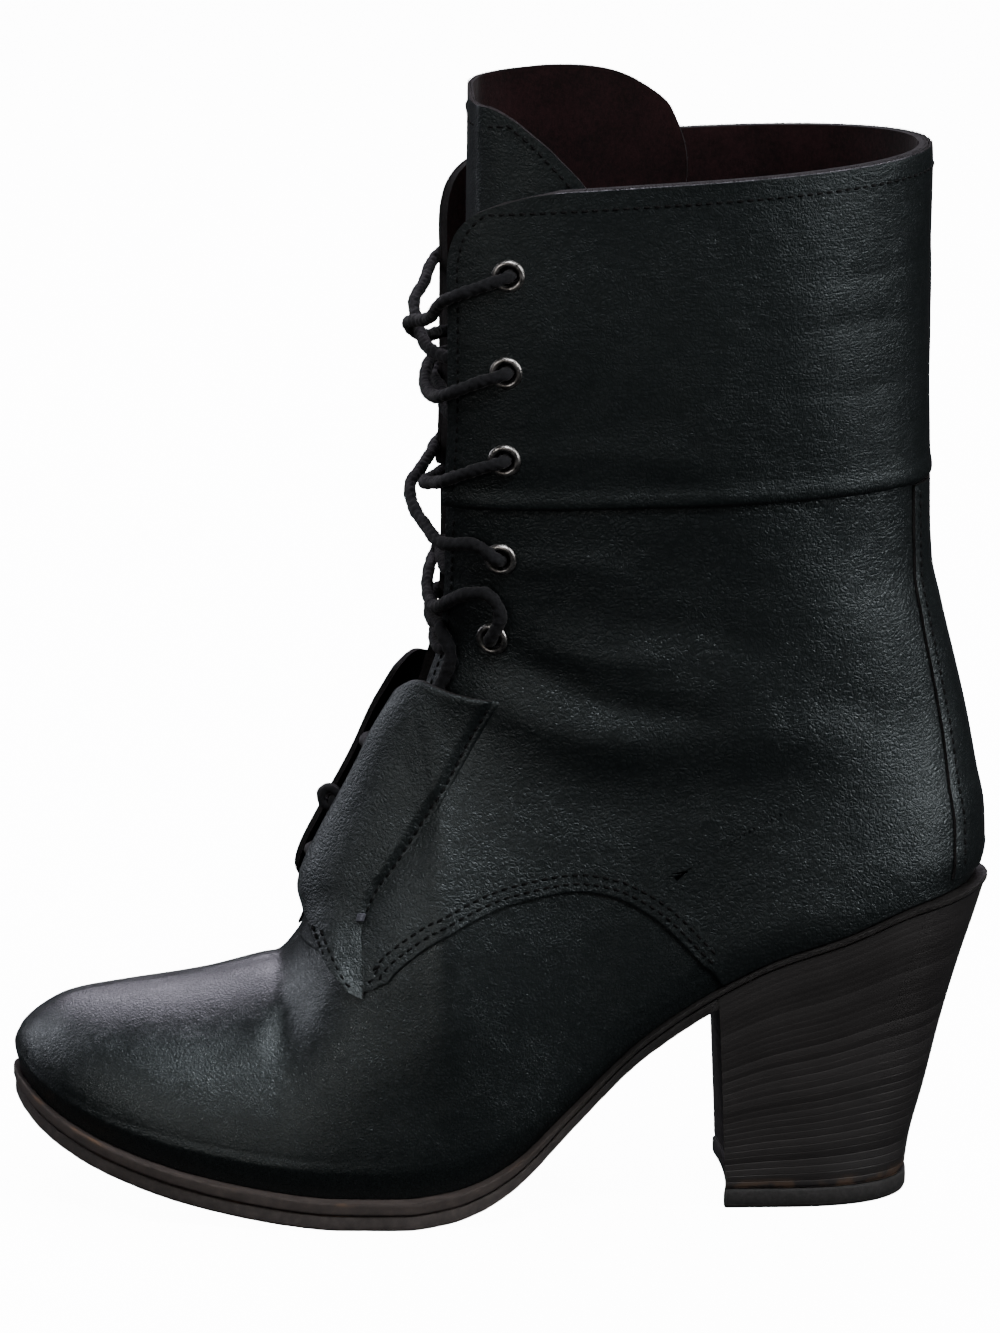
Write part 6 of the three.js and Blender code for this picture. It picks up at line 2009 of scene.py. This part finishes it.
class BOOT_OT_upper(bpy.types.Operator):
    """Makes the vamp and the quarter with their lining"""

    bl_idname = "boot.upper"
    bl_label = "Vamp and quarter"

    def execute(self, context):
        last = last_of(context)
        make_vamp(last)
        make_quarter(last)
        return {"FINISHED"}


class BOOT_OT_cuff(bpy.types.Operator):
    """Makes the cuff and the strip up the back seam"""

    bl_idname = "boot.cuff"
    bl_label = "Cuff and back strip"

    def execute(self, context):
        last = last_of(context)
        make_cuff(last)
        make_back_strip(last)
        return {"FINISHED"}


class BOOT_OT_tongue(bpy.types.Operator):
    """Makes the wide tongue with its suede inner face"""

    bl_idname = "boot.tongue"
    bl_label = "Tongue"

    def execute(self, context):
        make_tongue(last_of(context))
        return {"FINISHED"}


class BOOT_OT_flaps(bpy.types.Operator):
    """Makes the two loose flaps over the lower lacing"""

    bl_idname = "boot.flaps"
    bl_label = "Flaps"

    def execute(self, context):
        last = last_of(context)
        for lateral in (True, False):
            make_flap(last, lateral)
        return {"FINISHED"}


class BOOT_OT_stitches(bpy.types.Operator):
    """Sews every row of stitches and the tacks at the flaps"""

    bl_idname = "boot.stitches"
    bl_label = "Stitches"

    def execute(self, context):
        last = last_of(context)
        make_stitches(last, context.scene.boot_sizes)
        make_bartacks(last, context.scene.boot_sizes)
        return {"FINISHED"}


class BOOT_OT_fuzz(bpy.types.Operator):
    """Sets loose fibres on the laces and on the raw edges"""

    bl_idname = "boot.fuzz"
    bl_label = "Fuzz"

    def execute(self, context):
        last = last_of(context)
        make_lace_fuzz(last, context.scene.boot_sizes.lace_radius)
        make_edge_fuzz(last)
        return {"FINISHED"}


class BOOT_OT_eyelets(bpy.types.Operator):
    """Sets the ten eyelets"""

    bl_idname = "boot.eyelets"
    bl_label = "Eyelets"

    def execute(self, context):
        make_eyelets(last_of(context))
        return {"FINISHED"}


class BOOT_OT_sole(bpy.types.Operator):
    """Makes the outsole, the welt with the midsole, and the insole"""

    bl_idname = "boot.sole"
    bl_label = "Sole"

    def execute(self, context):
        last = last_of(context)
        make_sole(last)
        make_insole(last)
        return {"FINISHED"}


class BOOT_OT_heel(bpy.types.Operator):
    """Stacks the heel over its rubber lift"""

    bl_idname = "boot.heel"
    bl_label = "Heel"

    def execute(self, context):
        make_heel(last_of(context))
        return {"FINISHED"}


class BOOT_OT_stage(bpy.types.Operator):
    """Sets up the pale floor and the soft studio lights"""

    bl_idname = "boot.stage"
    bl_label = "Stage"

    def execute(self, context):
        make_floor()
        make_lights()
        return {"FINISHED"}


STEPS = (BOOT_OT_camera, BOOT_OT_laces, BOOT_OT_tie, BOOT_OT_upper, BOOT_OT_cuff, BOOT_OT_tongue,
         BOOT_OT_flaps, BOOT_OT_stitches, BOOT_OT_fuzz, BOOT_OT_eyelets, BOOT_OT_sole, BOOT_OT_heel,
         BOOT_OT_stage)


class BOOT_PT_panel(bpy.types.Panel):
    """Lists the boot's steps, sizes and colours"""

    bl_idname = "BOOT_PT_panel"
    bl_label = "Laced boot"
    bl_space_type = "VIEW_3D"
    bl_region_type = "UI"
    bl_category = "Boot"

    def draw(self, context):
        for step in STEPS:
            self.layout.operator(step.bl_idname)
        for group in (context.scene.boot_sizes, context.scene.boot_colours):
            box = self.layout.box()
            for name in group.bl_rna.properties.keys():
                if name not in {"rna_type", "name"}:
                    box.prop(group, name)


CLASSES = (BootSizes, BootColours, *STEPS, BOOT_PT_panel)


def register():
    """Makes the classes and the two groups of settings known to Blender."""
    for cls in CLASSES:
        bpy.utils.register_class(cls)
    bpy.types.Scene.boot_sizes = PointerProperty(type=BootSizes)
    bpy.types.Scene.boot_colours = PointerProperty(type=BootColours)


def unregister():
    """Takes them away again, in the other order."""
    del bpy.types.Scene.boot_colours
    del bpy.types.Scene.boot_sizes
    for cls in reversed(CLASSES):
        bpy.utils.unregister_class(cls)


def main():
    """Builds the boot step by step."""
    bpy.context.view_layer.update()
    register()
    for step in STEPS:
        area, action = step.bl_idname.split(".")
        getattr(getattr(bpy.ops, area), action)()


if __name__ == "__main__":
    main()
